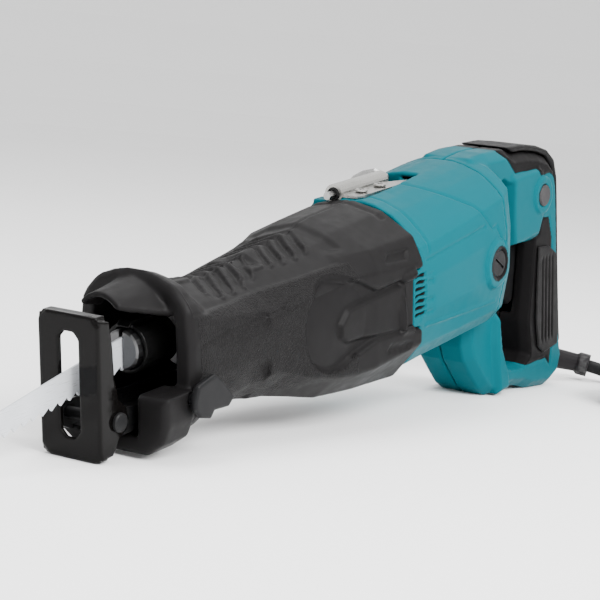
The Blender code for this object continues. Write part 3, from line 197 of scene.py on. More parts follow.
class Nodes:
    """A material's node tree, with the tool's frame in metres as its coordinates."""

    def __init__(self, name, roughness, metallic):
        self.material = bpy.data.materials.new(name)
        self.material.use_nodes = True
        self.tree = self.material.node_tree
        self.shader = self.tree.nodes["Principled BSDF"]
        self.shader.inputs["Roughness"].default_value = roughness
        self.shader.inputs["Metallic"].default_value = metallic
        self.shader.inputs["Specular IOR Level"].default_value = 0.5 if metallic else 0.09
        where = self.tree.nodes.new("ShaderNodeTexCoord").outputs["Object"]
        self.coords = self.mapped(where, (1, 1, 1), (0, PITCH, 0))

    def mapped(self, coords, scale, rotation=(0, 0, 0)):
        node = self.tree.nodes.new("ShaderNodeMapping")
        node.inputs["Scale"].default_value = scale
        node.inputs["Rotation"].default_value = rotation
        self.tree.links.new(coords, node.inputs["Vector"])
        return node.outputs["Vector"]

    def noise(self, scale, detail=3.0, stretch=None):
        node = self.tree.nodes.new("ShaderNodeTexNoise")
        node.inputs["Scale"].default_value = scale
        node.inputs["Detail"].default_value = detail
        coords = self.mapped(self.coords, stretch) if stretch else self.coords
        self.tree.links.new(coords, node.inputs["Vector"])
        return node.outputs["Fac"]

    def cells(self, scale):
        node = self.tree.nodes.new("ShaderNodeTexVoronoi")
        node.inputs["Scale"].default_value = scale
        self.tree.links.new(self.coords, node.inputs["Vector"])
        return node.outputs["Distance"]

    def bands(self, scale, axis, distortion=0.0):
        node = self.tree.nodes.new("ShaderNodeTexWave")
        node.bands_direction = axis
        node.inputs["Scale"].default_value = scale
        node.inputs["Distortion"].default_value = distortion
        node.inputs["Detail Scale"].default_value = 2.0
        self.tree.links.new(self.coords, node.inputs["Vector"])
        return node.outputs["Fac"]

    def ranged(self, value, low_in, high_in, low, high):
        node = self.tree.nodes.new("ShaderNodeMapRange")
        node.inputs["From Min"].default_value = low_in
        node.inputs["From Max"].default_value = high_in
        node.inputs["To Min"].default_value = low
        node.inputs["To Max"].default_value = high
        self.tree.links.new(value, node.inputs["Value"])
        return node.outputs["Result"]

    def mixed(self, factor, first, second):
        node = self.tree.nodes.new("ShaderNodeMix")
        node.data_type = "RGBA"
        self.tree.links.new(factor, node.inputs["Factor"])
        for socket, value in zip(("A", "B"), (first, second), strict=True):
            target = [item for item in node.inputs if item.name == socket and item.type == "RGBA"][0]
            if isinstance(value, tuple):
                target.default_value = (*value, 1.0)
            else:
                self.tree.links.new(value, target)
        return [item for item in node.outputs if item.type == "RGBA"][0]

    def times(self, first, second):
        node = self.tree.nodes.new("ShaderNodeMath")
        node.operation = "MULTIPLY"
        self.tree.links.new(first, node.inputs[0])
        self.tree.links.new(second, node.inputs[1])
        return node.outputs[0]

    def mark(self):
        """The field that a shell's points carry: where the boot is grained, and where a teal shell is black,
        which in the housing's vent slits is painted shade.
        """
        node = self.tree.nodes.new("ShaderNodeAttribute")
        node.attribute_name = "mark"
        return node.outputs["Fac"]

    def edges(self, low=0.52, high=0.6):
        """1 on sharp convex edges, fading to 0 on flat faces."""
        node = self.tree.nodes.new("ShaderNodeNewGeometry")
        return self.ranged(node.outputs["Pointiness"], low, high, 0.0, 1.0)

    def paint(self, colour):
        self.tree.links.new(colour, self.shader.inputs["Base Color"])

    def rough(self, value):
        self.tree.links.new(value, self.shader.inputs["Roughness"])

    def bump(self, value, distance, strength=1.0):
        node = self.tree.nodes.new("ShaderNodeBump")
        node.inputs["Distance"].default_value = distance
        node.inputs["Strength"].default_value = strength
        self.tree.links.new(value, node.inputs["Height"])
        before = self.shader.inputs["Normal"].links
        if before:
            self.tree.links.new(before[0].from_socket, node.inputs["Normal"])
        self.tree.links.new(node.outputs["Normal"], self.shader.inputs["Normal"])


def shade(colour, factor):
    return tuple(min(1.0, part * factor) for part in colour)


def moulded(name, colour, roughness, grain, depth, wear_and_highlight_colour=None, spread=0.06):
    """Moulded plastic or rubber: an even colour, a fine grain, and sharp edges painted lighter, as wear and
    as a painted highlight where the rounded edges catch light.
    """
    made = Nodes(name, roughness, 0.0)
    tint = made.mixed(made.noise(9.0), shade(colour, 0.96), shade(colour, 1.04))
    if wear_and_highlight_colour:
        # Sharp edges painted lighter: wear, and a painted highlight where rounded edges catch light.
        wear_and_edge_highlight = made.times(made.edges(), made.ranged(made.noise(240.0), 0.35, 0.7, 0.0, 1.0))
        tint = made.mixed(wear_and_edge_highlight, tint, wear_and_highlight_colour)
    made.paint(tint)
    made.rough(made.ranged(made.noise(160.0), 0.3, 0.7, roughness - spread, roughness + spread))
    made.bump(made.noise(grain, 2.0), depth)
    return made.material


def metal(name, colour, roughness, stretch=(1, 1, 1), grain=1600.0, depth=0.00003, metallic=1.0, spread=0.1):
    """Machined or cast metal: its grain is stretched along the way it was worked."""
    made = Nodes(name, roughness, metallic)
    made.paint(made.mixed(made.noise(60.0, 4.0), shade(colour, 0.82), shade(colour, 1.1)))
    made.rough(made.ranged(made.noise(grain, 3.0, stretch), 0.3, 0.7, roughness - spread, roughness + spread))
    made.bump(made.noise(grain, 3.0, stretch), depth)
    return made.material


def teal_plastic():
    """Satin blue-green plastic; where the mark is set it is black: black elastomer moulded onto it, the black
    brush caps, and painted shade in the vent slits.
    """
    teal, black = (0.0, 0.078, 0.098), (0.0054, 0.0050, 0.0052)
    made = Nodes("teal_plastic", 0.38, 0.0)
    made.shader.inputs["Specular IOR Level"].default_value = 0.03
    tint = made.mixed(made.noise(9.0), shade(teal, 0.96), shade(teal, 1.04))
    # Sharp edges painted a lighter teal: wear, and a painted highlight where rounded edges catch light.
    wear_and_edge_highlight = made.times(made.edges(), made.ranged(made.noise(240.0), 0.35, 0.7, 0.0, 0.7))
    tint = made.mixed(wear_and_edge_highlight, tint, shade(teal, 1.5))
    mark = made.ranged(made.mark(), 0.4, 0.6, 0.0, 1.0)
    made.paint(made.mixed(mark, tint, black))
    made.rough(made.ranged(made.noise(160.0), 0.3, 0.7, 0.33, 0.45))
    made.bump(made.noise(2600.0, 2.0), 0.00002)
    return made.material


TEAL = teal_plastic()


def boot_elastomer():
    """Satin elastomer; where the mark is set it has a leathery grain."""
    colour = (0.0052, 0.0048, 0.0050)
    made = Nodes("boot_elastomer", 0.5, 0.0)
    made.paint(made.mixed(made.noise(9.0), shade(colour, 0.93), shade(colour, 1.07)))
    grain = made.ranged(made.cells(900.0), 0.1, 0.6, 0.0, 1.0)
    made.rough(made.ranged(made.noise(160.0), 0.3, 0.7, 0.46, 0.56))
    made.bump(made.noise(2200.0, 2.0), 0.00004)
    made.bump(made.times(grain, made.mark()), 0.0005)
    return made.material


ELASTOMER = boot_elastomer()
GRIP = moulded("grip_elastomer", (0.0054, 0.0050, 0.0052), 0.5, 2400.0, 0.00006, (0.02, 0.02, 0.02))
BLACK = moulded("black_plastic", (0.007, 0.007, 0.0075), 0.42, 2200.0, 0.00003, (0.015, 0.015, 0.015))
GREY = moulded("grey_plastic", (0.030, 0.028, 0.030), 0.48, 2200.0, 0.00003, (0.05, 0.05, 0.05))
CORD_RUBBER = moulded("cord_rubber", (0.008, 0.008, 0.0085), 0.42, 1800.0, 0.00004, (0.04, 0.04, 0.04))
GUARD_RUBBER = moulded("guard_rubber", (0.012, 0.011, 0.012), 0.45, 1800.0, 0.00005, (0.06, 0.06, 0.06))
SEAL = moulded("seal_rubber", (0.02, 0.02, 0.02), 0.6, 1500.0, 0.00006)
CARBON = moulded("brush_carbon", (0.03, 0.03, 0.032), 0.62, 3000.0, 0.00005)
SHOE_BLACK = metal("coated_shoe_steel", (0.0022, 0.0019, 0.0018), 0.14, (1, 1, 1), 420.0, 0.00004, 0.0, 0.05)
SLEEVE_BLACK = metal("coated_sleeve_steel", (0.003, 0.003, 0.003), 0.2, (1, 1, 1), 500.0, 0.00003, 0.0, 0.06)
STEEL = metal("machined_steel", (0.34, 0.34, 0.335), 0.28, (0.06, 1, 1), 2400.0)
DARK_STEEL = metal("stamped_steel", (0.10, 0.10, 0.102), 0.36, (0.06, 1, 1), 1800.0)
ZINC = metal("plated_steel", (0.34, 0.335, 0.32), 0.33, (1, 1, 1), 500.0, 0.00004)
BLADE_WHITE = metal("coated_blade_steel", (0.56, 0.58, 0.61), 0.34, (0.05, 1, 1), 2000.0, 0.00002, 0.25)
ALUMINIUM = metal("cast_aluminium", (0.55, 0.55, 0.55), 0.46, (1, 1, 1), 900.0, 0.00012)
BRONZE = metal("sintered_bronze", (0.46, 0.31, 0.16), 0.44, (1, 1, 1), 2600.0, 0.00006)
BRASS = metal("holder_brass", (0.66, 0.50, 0.22), 0.32, (1, 0.06, 1), 2000.0)


def layered(name, colour, gap, scale, axis, roughness, metallic, distortion=0.0, depth=0.0002):
    """Something stacked or wound: ridges side by side, dark between them."""
    made = Nodes(name, roughness, metallic)
    ridges = made.bands(scale, axis, distortion)
    made.paint(made.mixed(made.ranged(ridges, 0.0, 0.4, 0.0, 1.0), gap, colour))
    made.rough(made.ranged(made.noise(900.0), 0.3, 0.7, roughness - 0.06, roughness + 0.08))
    made.bump(ridges, depth)
    return made.material


LAMINATED = layered("laminated_iron", (0.30, 0.30, 0.31), (0.05, 0.05, 0.05), 320.0, "X", 0.42, 0.9)
COPPER = layered("enamelled_copper", (0.55, 0.20, 0.07), (0.12, 0.03, 0.01), 260.0, "DIAGONAL", 0.3, 0.7, 3.0)
SEGMENTS = layered("commutator_copper", (0.62, 0.30, 0.14), (0.04, 0.03, 0.02), 90.0, "Z", 0.3, 0.9)

CAD_FINISHES = {
    "gear_housing": ALUMINIUM, "gear_housing_cover": ALUMINIUM, "guide_sleeve": BRONZE,
    "oil_seal": SEAL, "stator_core": LAMINATED, "field_winding_front": COPPER,
    "field_winding_rear": COPPER, "fan_baffle": BLACK,
    "brush_holder_left": BRASS, "brush_holder_right": BRASS, "brush_left": CARBON, "brush_right": CARBON,
    "brush_cap_left": BLACK, "brush_cap_right": BLACK, "front_bearing": STEEL, "rear_bearing": STEEL,
    "crank_bearing": STEEL, "armature_shaft": STEEL, "armature_core": LAMINATED,
    "armature_winding_front": COPPER, "armature_winding_rear": COPPER, "commutator": SEGMENTS, "fan": BLACK,
    "pinion": STEEL, "crank_gear": STEEL, "crank_pin": STEEL, "plunger": STEEL, "clamp_body": DARK_STEEL,
    "blade": BLADE_WHITE, "shoe_bracket": DARK_STEEL, "shoe_pin": BLACK,
    "switch_body": BLACK, "lock_button": GREY,
    "hook_bracket": ZINC, "hook_bush": BLACK, "hook_screw_1": ZINC, "hook_screw_2": ZINC, "hook_rod": STEEL,
    "handle_screw_1": DARK_STEEL, "handle_screw_2": DARK_STEEL, "handle_screw_3": DARK_STEEL,
    "coil_tie": BLACK, "plug_body": CORD_RUBBER, "plug_blade_1": BRASS, "plug_blade_2": BRASS,
    "cord_guard": GUARD_RUBBER,
}


def finish_cad():
    """Gives every carried node its material, and softens the edges of the hard ones."""
    for name, material in CAD_FINISHES.items():
        node = frame["nodes"][name]
        node.data.materials.clear()
        node.data.materials.append(material)
        bevel = node.modifiers.new("soft_edges", "BEVEL")
        bevel.width = 0.25 * MM
        bevel.segments = 2
        bevel.limit_method = "ANGLE"
        bevel.angle_limit = math.radians(40)


finish_cad()


def add_cord():
    """The lead from inside the heel to the plug, as one curve."""
    route = smooth(CORD_ROUTE, 6 * MM) + coil_points()
    made = curve_object("cord_line", route, CORD_D / 2, CORD_RUBBER, 5)
    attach(made, "frame")
    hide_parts("cord", "cord_coil", "cord_tail")


add_cord()


# ---- Shells ------------------------------------------------------------------------------------


def ramp(value, start, end):
    """0 before start, 1 after end and a smooth step between, for an array."""
    t = np.clip((value - start) / (end - start), 0.0, 1.0)
    return t * t * (3 - 2 * t)


class Shape:
    """A CAD solid refined to an even mesh, in millimetres of the tool's frame, to be worked on."""

    def __init__(self, parts, voxel, relax):
        joined = bmesh.new()
        for part in parts:
            solid = part if isinstance(part, bmesh.types.BMesh) else from_node(part)
            piece = bpy.data.meshes.new("part")
            solid.to_mesh(piece)
            solid.free()
            joined.from_mesh(piece)
            bpy.data.meshes.remove(piece)
        rough = bpy.data.meshes.new("rough")
        joined.to_mesh(rough)
        joined.free()
        holder = bpy.data.objects.new("rough", rough)
        bpy.context.scene.collection.objects.link(holder)
        modifier = holder.modifiers.new("even", "REMESH")
        modifier.mode = "VOXEL"
        modifier.voxel_size = voxel
        depsgraph = bpy.context.evaluated_depsgraph_get()
        self.mesh = bpy.data.meshes.new_from_object(holder.evaluated_get(depsgraph))
        bpy.data.objects.remove(holder)
        self.edges = np.empty(len(self.mesh.edges) * 2, dtype=np.int32)
        self.mesh.edges.foreach_get("vertices", self.edges)
        self.edges = self.edges.reshape(-1, 2)
        self.points = coordinates(self.mesh)
        self.relax(relax)

    def relax(self, times, share=0.5):
        """Moves every point towards the mean of its neighbours, which rounds the edges."""
        a, b = self.edges.T
        count = len(self.points)
        neighbours = np.bincount(self.edges.ravel(), minlength=count)[:, None]
        for _ in range(times):
            totals = [
                np.bincount(a, self.points[b, k], count) + np.bincount(b, self.points[a, k], count)
                for k in range(3)
            ]
            self.points += share * (np.array(totals).T / neighbours - self.points)
        self.refresh()

    def refresh(self):
        self.mesh.vertices.foreach_set("co", self.points.ravel())
        self.mesh.update()
        self.normals = np.empty(len(self.points) * 3, dtype=np.float32)
        self.mesh.vertex_normals.foreach_get("vector", self.normals)
        self.normals = self.normals.reshape(-1, 3).astype(float)
        self.x, self.y, self.z = self.points.T

    def push(self, amount, where=1.0):
        """Moves the surface out by an amount, in where it is allowed."""
        self.points += self.normals * (amount * where)[:, None]
        self.refresh()

    def flank(self, side=0, least=0.3):
        """1 on the outer faces of the left (-1), the right (1) or both flanks (0)."""
        outward = self.normals[:, 1] * (side or np.sign(self.y)) > least
        return outward & (self.y * side >= 0)

    def top(self, least=0.15):
        return self.normals[:, 2] > least

    def groove(self, line, width, depth, where):
        """A rounded channel along a line of (x, z) points."""
        away = line_distance(self.x, self.z, line)
        self.push(-depth * np.exp(-((away / width) ** 2)), where)

    def raised(self, outline, height, soft, where):
        """A plateau (or a sunk field, below 0) inside an outline of (x, z) points."""
        self.push(height * ramp(-outline_distance(self.x, self.z, outline), 0.0, soft), where)

    def finish(self, name, node, material, slot, body="frame", marks=None):
        """Puts the shape back into the world as a piece that stands for its node."""
        world = self.points * MM @ AXES.T + np.array(ORIGIN)
        self.mesh.vertices.foreach_set("co", world.ravel())
        if marks is not None:
            mark = self.mesh.attributes.new("mark", "FLOAT", "POINT")
            mark.data.foreach_set("value", marks.astype(np.float32))
        self.mesh.update()
        self.mesh.materials.clear()
        self.mesh.materials.append(material)
        self.mesh.polygons.foreach_set("use_smooth", np.ones(len(self.mesh.polygons), dtype=bool))
        made = bpy.data.objects.new(name, self.mesh)
        bpy.context.scene.collection.objects.link(made)
        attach(made, body)
        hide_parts(*((node,) if isinstance(node, str) else node))
        return made


def from_node(name):
    """A CAD node's solid in millimetres of the tool's frame."""
    made = bmesh.new()
    made.from_mesh(frame["nodes"][name].data)
    made.transform(TOOL_MM.inverted())
    bmesh.ops.remove_doubles(made, verts=made.verts, dist=0.01)
    return made


def block(low, high):
    """A closed box between two corners, in tool millimetres."""
    made = bmesh.new()
    middle = (Vector(low) + Vector(high)) / 2
    sizes = Vector(high) - Vector(low)
    bmesh.ops.create_cube(made, size=1, matrix=Matrix.Translation(middle) @ Matrix.Diagonal((*sizes, 1)))
    return made


def coordinates(mesh):
    flat = np.empty(len(mesh.vertices) * 3, dtype=np.float32)
    mesh.vertices.foreach_get("co", flat)
    return flat.reshape(-1, 3).astype(float)


def line_distance(x, z, line):
    """How far each point is from a broken line."""
    nearest = np.full(len(x), 1e9)
    for (ax, az), (bx, bz) in zip(line, line[1:], strict=False):
        dx, dz = bx - ax, bz - az
        t = np.clip(((x - ax) * dx + (z - az) * dz) / (dx * dx + dz * dz), 0.0, 1.0)
        nearest = np.minimum(nearest, np.hypot(x - ax - t * dx, z - az - t * dz))
    return nearest


def outline_distance(x, z, outline):
    """How far each point is from an outline: below 0 inside it."""
    closed = [*outline, outline[0]]
    inside = np.zeros(len(x), dtype=bool)
    for (ax, az), (bx, bz) in zip(closed, closed[1:], strict=False):
        if az != bz:
            inside ^= ((az > z) != (bz > z)) & (x < (bx - ax) * (z - az) / (bz - az) + ax)
    away = line_distance(x, z, closed)
    return np.where(inside, -away, away)


# The boot behind its mouth. Each station: x, top z, shoulder y and z, upper corner y and z, half width,
# upper and lower z of the flat side, bottom shoulder y and z, bottom z.
BOOT_JOIN = 118
BOOT_SECTIONS = (
    (116, 36.6, 14.5, 32.1, 26, 24.5, 37.4, 15, -15.8, 20.9, -32.3, -35.3),
    (130, 37.5, 15, 33, 27.5, 25.5, 38, 15, -18, 22, -34, -37),
    (150, 40, 16, 35, 29.5, 27.5, 40, 17, -25, 24, -39, -42),
    (172, 42, 18, 37, 31.5, 29.5, 42, 19, -31, 26, -45, -47),
    (190, 45, 19, 39.5, 33.5, 31.5, 44, 22, -33, 27, -47, -49),
    (206, 47.3, 20, 42.5, 39.5, 32.5, 46.5, 21, -32.5, 28, -48.5, -50.5),
    (250, 49.5, 21, 45.5, 42, 33.5, 49, 19, -28, 30, -51, -53),
)
PANEL_TOP = ((55, 27), (95, 25.2), (122, 26), (148, 27), (182, 29))
RIB_FLOOR = (
    (84, 60), (87, 29), (95, 26.8), (110, 26.8), (125, 29), (139, 32), (160, 33), (176, 35), (189, 38),
    (194, 60),
)
RIB_SLANT = 0.55                      # a rib runs this much forward for each millimetre down its side
RIB_GROOVES = (96, 108, 118, 128, 138, 154, 164.5, 175, 185)
RIB_GROUPS = ((96, 138), (154, 185))
RIB_HEIGHT = 2.1
RIB_SUNK = 2.2                        # how far the ribs' field lies below the boot's skin
WIDEST_RIB = 15                       # a longer gap between two grooves is the plain field between groups
BOOT_STEPS = (139, 191)               # where a steep wall ends each group of ribs
STEP_DEPTH = 1.5
PANEL_DEPTH = 1.3
DISC_CENTRE = (171, -1)
DISC_RADIUS = 25.5
DISC_CROWN = 2.4
HOLLOW_DEPTH = 3.4                    # of the disc's bed and the channel that runs back from it
TONGUE_HEIGHT = 2.6
STRAP_HEIGHT = 3.2
TAB_DEPTH = 1.6
SEAM_DEPTH = 0.9                      # of the parting line along the top
BOOT_END = 241.8                      # behind here the boot's flank stays inside the housing's rim
RIM_HALF_WIDTH = 44.0
CHANNEL = ((172, 21), (190, 19), (206, 11), (250, 14), (250, -18.5), (206, -16.5), (191, -21), (175, -25))
TONGUE = ((180, 5), (187, 6.5), (230, 10), (233, -17.5), (192, -14), (180, -13.5), (174, -9), (173, -2))
STRAP = ((229, 14), (241.5, 17), (241.5, -20), (229, -19))
TAB_SLOTS = (
    ((215, 24), (220, 28.5), (240, 28), (236, 22.5)),
    ((214, -26), (219, -22.5), (240, -25), (236, -29.5)),
)
STEP_LINE = ((58, 13), (130, 16))


def section(x, inward=0.0):
    """The boot's outline at x, moved in by a wall's thickness, as (y, z) points from the top round."""
    top, sy, sz, my, mz, w, zu, zl, by, bz, low = [
        np.interp(x, [row[0] for row in BOOT_SECTIONS], column) for column in np.array(BOOT_SECTIONS).T[1:]
    ]
    right = [(sy, sz), (my, mz), (w, zu), (w, zl), (by, bz)]
    full = [(0, top), *right, (0, low), *[(-y, z) for y, z in reversed(right)]]
    return [(y * (1 - inward / 45), z * (1 - inward / 45)) for y, z in full]


def boot_rear():
    """The closed wall of the boot from its waist to the motor housing, in tool millimetres."""
    made = bmesh.new()
    stations = list(range(116, 251, 2))
    loops = [[made.verts.new((x, y, z)) for y, z in section(x)] for x in stations]
    loops += [[made.verts.new((x, y, z)) for y, z in section(x, 3.4)] for x in reversed(stations)]
    for near, far in zip(loops, loops[1:] + loops[:1], strict=True):
        for k in range(len(near)):
            j = (k + 1) % len(near)
            made.faces.new((near[k], near[j], far[j], far[k]))
    bmesh.ops.recalc_face_normals(made, faces=made.faces)
    return made


def boot_front():
    """The CAD boot's mouth and waist, cut off behind the join and closed with a ring."""
    made = from_node("nose_boot")
    cut = bmesh.ops.bisect_plane(
        made, geom=[*made.verts, *made.edges, *made.faces], plane_co=(BOOT_JOIN, 0, 0), plane_no=(1, 0, 0),
        clear_outer=True,
    )
    rim = [item for item in cut["geom_cut"] if isinstance(item, bmesh.types.BMEdge)]
    bmesh.ops.bridge_loops(made, edges=rim)
    bmesh.ops.recalc_face_normals(made, faces=made.faces)
    return made


def shape_boot():
    """The boot: ribs over its top, a sunk panel, the disc in its channel, and the strap with its tabs."""
    boot = Shape([boot_front(), boot_rear()], 0.9, 4)
    upper = boot.top() & (boot.x > 70)
    above = boot.z - np.interp(boot.x, *np.array(RIB_FLOOR).T)
    ribbed = upper * ramp(above, 0.0, 3.0)
    slanted = boot.x + RIB_SLANT * np.abs(boot.y)
    wave = np.zeros(len(boot.x))
    for start, end in zip(RIB_GROOVES, RIB_GROOVES[1:], strict=False):
        along = (slanted - start) / (end - start)
        if end - start < WIDEST_RIB:
            rise = np.minimum(along / 0.35, (1 - along) / 0.65)
            wave += np.where((along > 0) & (along < 1), RIB_HEIGHT * np.clip(rise, 0, 1) ** 0.7, 0)
    sunk = np.zeros(len(boot.x))
    for start, end in RIB_GROUPS:
        sunk = np.maximum(sunk, ramp(slanted, start - 2, start + 1) * (1 - ramp(slanted, end - 1, end + 3)))
    boot.push(wave - RIB_SUNK * sunk, ribbed)
    for where in BOOT_STEPS:
        dip = ramp(boot.x, where - 13, where - 3) * (1 - ramp(boot.x, where, where + 5))
        boot.push(-STEP_DEPTH * dip, upper * ramp(boot.z - 33, 0.0, 3.0))
    flank = boot.flank(0, 0.2) & (boot.x > 55)
    over = boot.z - np.interp(boot.x, *np.array(PANEL_TOP).T)
    sunken = ramp(over, 0.0, 1.0) * ramp(14 - over, 0, 5) * (1 - ramp(boot.x, 180, 186))
    boot.push(-PANEL_DEPTH * sunken, flank)
    boot.groove(STEP_LINE, 0.9, 0.8, boot.flank())
    reach = np.hypot(boot.x - DISC_CENTRE[0], boot.z - DISC_CENTRE[1])
    hollow = np.minimum(reach - DISC_RADIUS, outline_distance(boot.x, boot.z, CHANNEL))
    lens = DISC_CROWN * np.clip(1 - (reach / DISC_RADIUS) ** 2, 0, 1)
    boot.push(-HOLLOW_DEPTH * ramp(-hollow, -0.6, 0.9) + lens, boot.flank())
    tongue = ramp(-outline_distance(boot.x, boot.z, TONGUE), -0.5, 1.4)
    boot.push(TONGUE_HEIGHT * tongue, boot.flank())
    boot.raised(STRAP, STRAP_HEIGHT, 0.9, boot.flank())
    gap = (boot.x > BOOT_END) & (boot.z < 15.5) & (boot.z > -19.5) & (np.abs(boot.y) > 40)
    tucked = np.sign(boot.y) * np.minimum(np.abs(boot.y), RIM_HALF_WIDTH)
    boot.points[:, 1] = np.where(gap, tucked, boot.points[:, 1])
    boot.refresh()
    for slot in TAB_SLOTS:
        boot.raised(slot, -TAB_DEPTH, 0.8, boot.flank())
    boot.push(-SEAM_DEPTH * np.exp(-((boot.y / 0.8) ** 2)), boot.top(0.5) & (boot.x > 56))
    rear_seam = (1 - ramp(boot.x, 243.5, 244.5)) * ramp(boot.x, 238, 243)
    boot.push(-SEAM_DEPTH * rear_seam, boot.top(0.3) & (boot.z > 42))
    boot.relax(2)
    panel = boot.flank(0, 0.3) & (boot.x > 58) & (boot.x < 190) & (reach > DISC_RADIUS + 1) & (hollow > 0)
    over = boot.z - np.interp(boot.x, *np.array(PANEL_TOP).T)
    marks = panel * (1 - ramp(over, -1, 0)) * ramp(boot.z + 34, 0, 6)
    boot.finish("boot_shell", "nose_boot", ELASTOMER, "boot_elastomer", marks=marks)


# The housing and the two halves of the handle: glass-filled plastic with crisp, slightly round edges.
BRUSH_X = 340                         # the brushes' axis
LOCK = (442.6, 21.7)                  # the lock button's axis
BAND_SEAM = ((256, 18.1), (325.8, 24.9))
BAND_LEDGE = ((256, -19.8), (344.2, -24.2))
SHOULDER_SEAM = ((275, 64), (294, 52), (320, 38), (335, 22), (340, 23), (347, 11))
VENT_HEIGHTS = [10.5 - 3.7 * k for k in range(7)]
VENT_SLOPE = 0.12
VENT_DEPTH = 2.4
BRUSH_RING = 1.8                      # how far the ring round a brush cap stands out
VENT_BLOCKS = (                       # x, y and z ranges of the solid behind the vents, on one side
    ((242.4, 264.5), (40.0, 47.2), (-18.6, 14.6)),
    ((250.6, 264.5), (36.0, 45.5), (-20.0, 16.0)),
)


def shape_housing():
    """The motor housing: its seams, the rings round the brush caps and the vents behind the strap."""
    fillers = []
    for side in (-1, 1):
        for (front, back), across, (floor, roof) in VENT_BLOCKS:
            near, far = sorted((side * across[0], side * across[1]))
            fillers.append(block((front, near, floor), (back, far, roof)))
    body = Shape(["motor_housing", *fillers], 1.0, 2)
    body.groove(BAND_SEAM, 0.7, 1.0, body.flank() & (body.x > 256))
    body.groove(BAND_LEDGE, 0.8, -0.9, body.flank() & (body.x > 256))
    reach = np.hypot(body.x - BRUSH_X, body.z)
    body.push(BRUSH_RING * ramp(15.5 - reach, 0, 1.0), body.flank() * (reach > 8.4))
    body.push(-0.9 * np.exp(-(((body.x - 260.8) / 0.7) ** 2)), body.top(0.1) & (body.z > 22))
    left = (body.normals[:, 1] < 0.2) & (body.y < 0) & (np.hypot(body.y, body.z) > 40)
    body.groove(SHOULDER_SEAM, 0.7, 1.0, left)
    reach = np.hypot(body.x - BRUSH_X, body.z)
    marks = body.flank() * ramp(10.9 - reach, -0.4, 0.4) * (np.abs(body.y) > 43)
    # The vent slits' floors are marked too, which paints them black: painted shade in the slits.
    for height in VENT_HEIGHTS:
        slit = ramp(1.15 - np.abs(body.z - height - VENT_SLOPE * (body.x - 248)), 0, 0.6)
        slit = slit * ramp(body.x, 244.0, 244.8) * (1 - ramp(body.x, 253.2, 254.0))
        vent = body.flank(0, 0.5) & (np.abs(body.y) > 44)
        body.push(-VENT_DEPTH * slit, vent)
        marks = np.maximum(marks, slit * vent)
    body.finish("motor_shell", "motor_housing", TEAL, "body_plastic", marks=marks)


GRIP_FIELD = (
    (400, -6), (433, -7), (444, -4), (446, 6), (457, 5), (462, -10), (466, -75), (464, -97), (458, -91),
    (430, -89.5), (404, -76), (400, -57),
)
CROWN_FIELD = (
    (376, 80), (374, 60), (391, 58), (409, 41), (436, 40), (441, 33), (456, 34), (500, 14), (500, 80),
)
FIELD_SEAM = 0.6                      # depth of the seam round the overmoulded fields
LOCK_RING = 1.4                       # how far the ring round the lock button stands out
PAD_RIB_GAP = 4.6
PAD_RIB_DEPTH = 0.9


def shape_handle(name, node):
    """Half of the handle: its grip and its crown are overmoulded, and stand out at a fine seam."""
    half = Shape([node], 1.0, 2)
    soft = np.minimum(
        outline_distance(half.x, half.z, GRIP_FIELD), outline_distance(half.x, half.z, CROWN_FIELD)
    )
    ring = np.hypot(half.x - LOCK[0], half.z - LOCK[1])
    soft = np.maximum(soft, 13.2 - ring)
    half.push(-FIELD_SEAM * np.exp(-((soft / 0.7) ** 2)), half.flank(0, 0.5))
    outside = half.flank(-1) * (ring > 7.6) * (np.abs(half.y) > 14)
    half.push(LOCK_RING * ramp(12.6 - ring, 0, 1.0), outside)
    half.finish(name, node, TEAL, "body_plastic", marks=ramp(-soft, -0.4, 0.4))


def shape_grip():
    """The elastomer over the handle's top and back, and the ribbed pad on each side of the grip."""
    cover = Shape(["grip_cover"], 0.8, 3)
    cover.finish("grip_wrap", "grip_cover", GRIP, "grip_elastomer")
    for side, node in ((-1, "grip_pad_left"), (1, "grip_pad_right")):
        pad = Shape([node], 0.6, 3)
        low, high = pad.z.min(), pad.z.max()
        share = (pad.z - low) / (high - low)
        middle = (pad.x.min() + pad.x.max()) / 2 - 3 * share
        for count in range(4):
            across = pad.x - middle - PAD_RIB_GAP * (count - 1.5)
            fade = ramp(share, 0.08, 0.16) * (1 - ramp(share, 0.84, 0.92))
            pad.push(-PAD_RIB_DEPTH * np.exp(-((across / 0.8) ** 2)) * fade, pad.flank(side, 0.5))
        pad.finish(f"{node}_ribbed", node, GRIP, "grip_elastomer")


ROUNDED = (                           # piece, node, body, slot, material, voxel, rounds of relaxing
    ("shoe_plate_shell", "shoe", "shoe_plate", "shoe_coated_steel", SHOE_BLACK, 0.5, 5),
    ("clamp_collar", "clamp_sleeve", "sleeve", "sleeve_coated_steel", SLEEVE_BLACK, 0.4, 3),
    ("shoe_lever_handle", "shoe_lever", "shoe_lock", "lever_plastic", BLACK, 0.5, 5),
    ("trigger_paddle", "trigger", "trigger_lever", "black_plastic", BLACK, 0.5, 4),
)
for name, node, body, slot, material, voxel, relax in ROUNDED:
    Shape([node], voxel, relax).finish(name, node, material, slot, body)
shape_boot()
shape_housing()
shape_handle("handle_half_left", "handle_left")
shape_handle("handle_half_right", "handle_right")
shape_grip()


# ---- Studio ------------------------------------------------------------------------------------


def add_light(name, where, aim, size, power):
    data = bpy.data.lights.new(name, "AREA")
    data.shape = "RECTANGLE"
    data.size, data.size_y = size
    data.energy = power
    made = bpy.data.objects.new(name, data)
    bpy.context.scene.collection.objects.link(made)
    made.location = where
    made.rotation_euler = (Vector(aim) - Vector(where)).to_track_quat("-Z", "Y").to_euler()


FLOOR_RADIUS = 3.0
FLOOR_BEND = 2.0                      # radius of the bowl's curve up from its flat middle
FLOOR_SIDES = 64


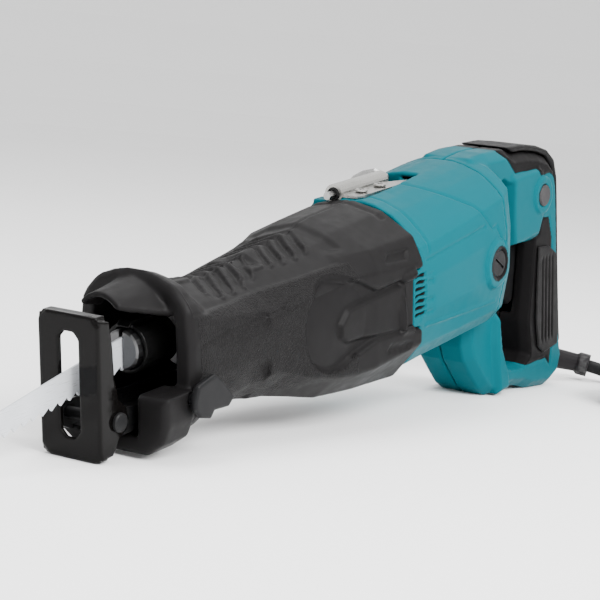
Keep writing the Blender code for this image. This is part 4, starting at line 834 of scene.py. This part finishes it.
def add_floor():
    """A white bowl with a flat middle."""
    profile = [(FLOOR_RADIUS, 0.0)]
    for step in range(1, 13):
        angle = math.radians(7.5 * step)
        profile.append(
            (FLOOR_RADIUS + FLOOR_BEND * math.sin(angle), FLOOR_BEND - FLOOR_BEND * math.cos(angle))
        )
    made = bmesh.new()
    turn = [2 * math.pi * k / FLOOR_SIDES for k in range(FLOOR_SIDES)]
    rings = []
    for radius, height in profile:
        rings.append([made.verts.new((radius * math.cos(a), radius * math.sin(a), height)) for a in turn])
    made.faces.new(rings[0])
    for near, far in zip(rings, rings[1:], strict=False):
        for k in range(FLOOR_SIDES):
            j = (k + 1) % FLOOR_SIDES
            made.faces.new((near[k], near[j], far[j], far[k]))
    bmesh.ops.recalc_face_normals(made, faces=made.faces)
    mesh = bpy.data.meshes.new("floor")
    made.to_mesh(mesh)
    made.free()
    floor = bpy.data.objects.new("floor", mesh)
    bpy.context.scene.collection.objects.link(floor)
    finish = Nodes("studio_floor", 0.8, 0.0)
    finish.paint(finish.mixed(finish.noise(2.0), (0.93, 0.93, 0.93), (0.95, 0.95, 0.95)))
    mesh.materials.append(finish.material)


def add_world():
    """Light from all round, dimmer in front of the tool: its forward faces are darker than its flank."""
    world = bpy.data.worlds.new("studio")
    world.use_nodes = True
    background = world.node_tree.nodes["Background"]
    background.inputs["Color"].default_value = (1, 1, 1, 1)
    where = world.node_tree.nodes.new("ShaderNodeTexCoord")
    parts = world.node_tree.nodes.new("ShaderNodeSeparateXYZ")
    strength = world.node_tree.nodes.new("ShaderNodeMapRange")
    for socket, number in (("From Min", -1.0), ("From Max", 1.0), ("To Min", 0.5), ("To Max", 2.3)):
        strength.inputs[socket].default_value = number
    world.node_tree.links.new(where.outputs["Generated"], parts.inputs["Vector"])
    world.node_tree.links.new(parts.outputs["X"], strength.inputs["Value"])
    world.node_tree.links.new(strength.outputs["Result"], background.inputs["Strength"])
    bpy.context.scene.world = world


add_floor()
add_world()
TOOL_MIDDLE = (0.0, 0.0, 0.05)
add_light("key", (-0.45, -1.25, 1.05), TOOL_MIDDLE, (0.9, 0.7), 62)
add_light("top", (0.1, 0.2, 1.5), TOOL_MIDDLE, (1.2, 0.9), 22)
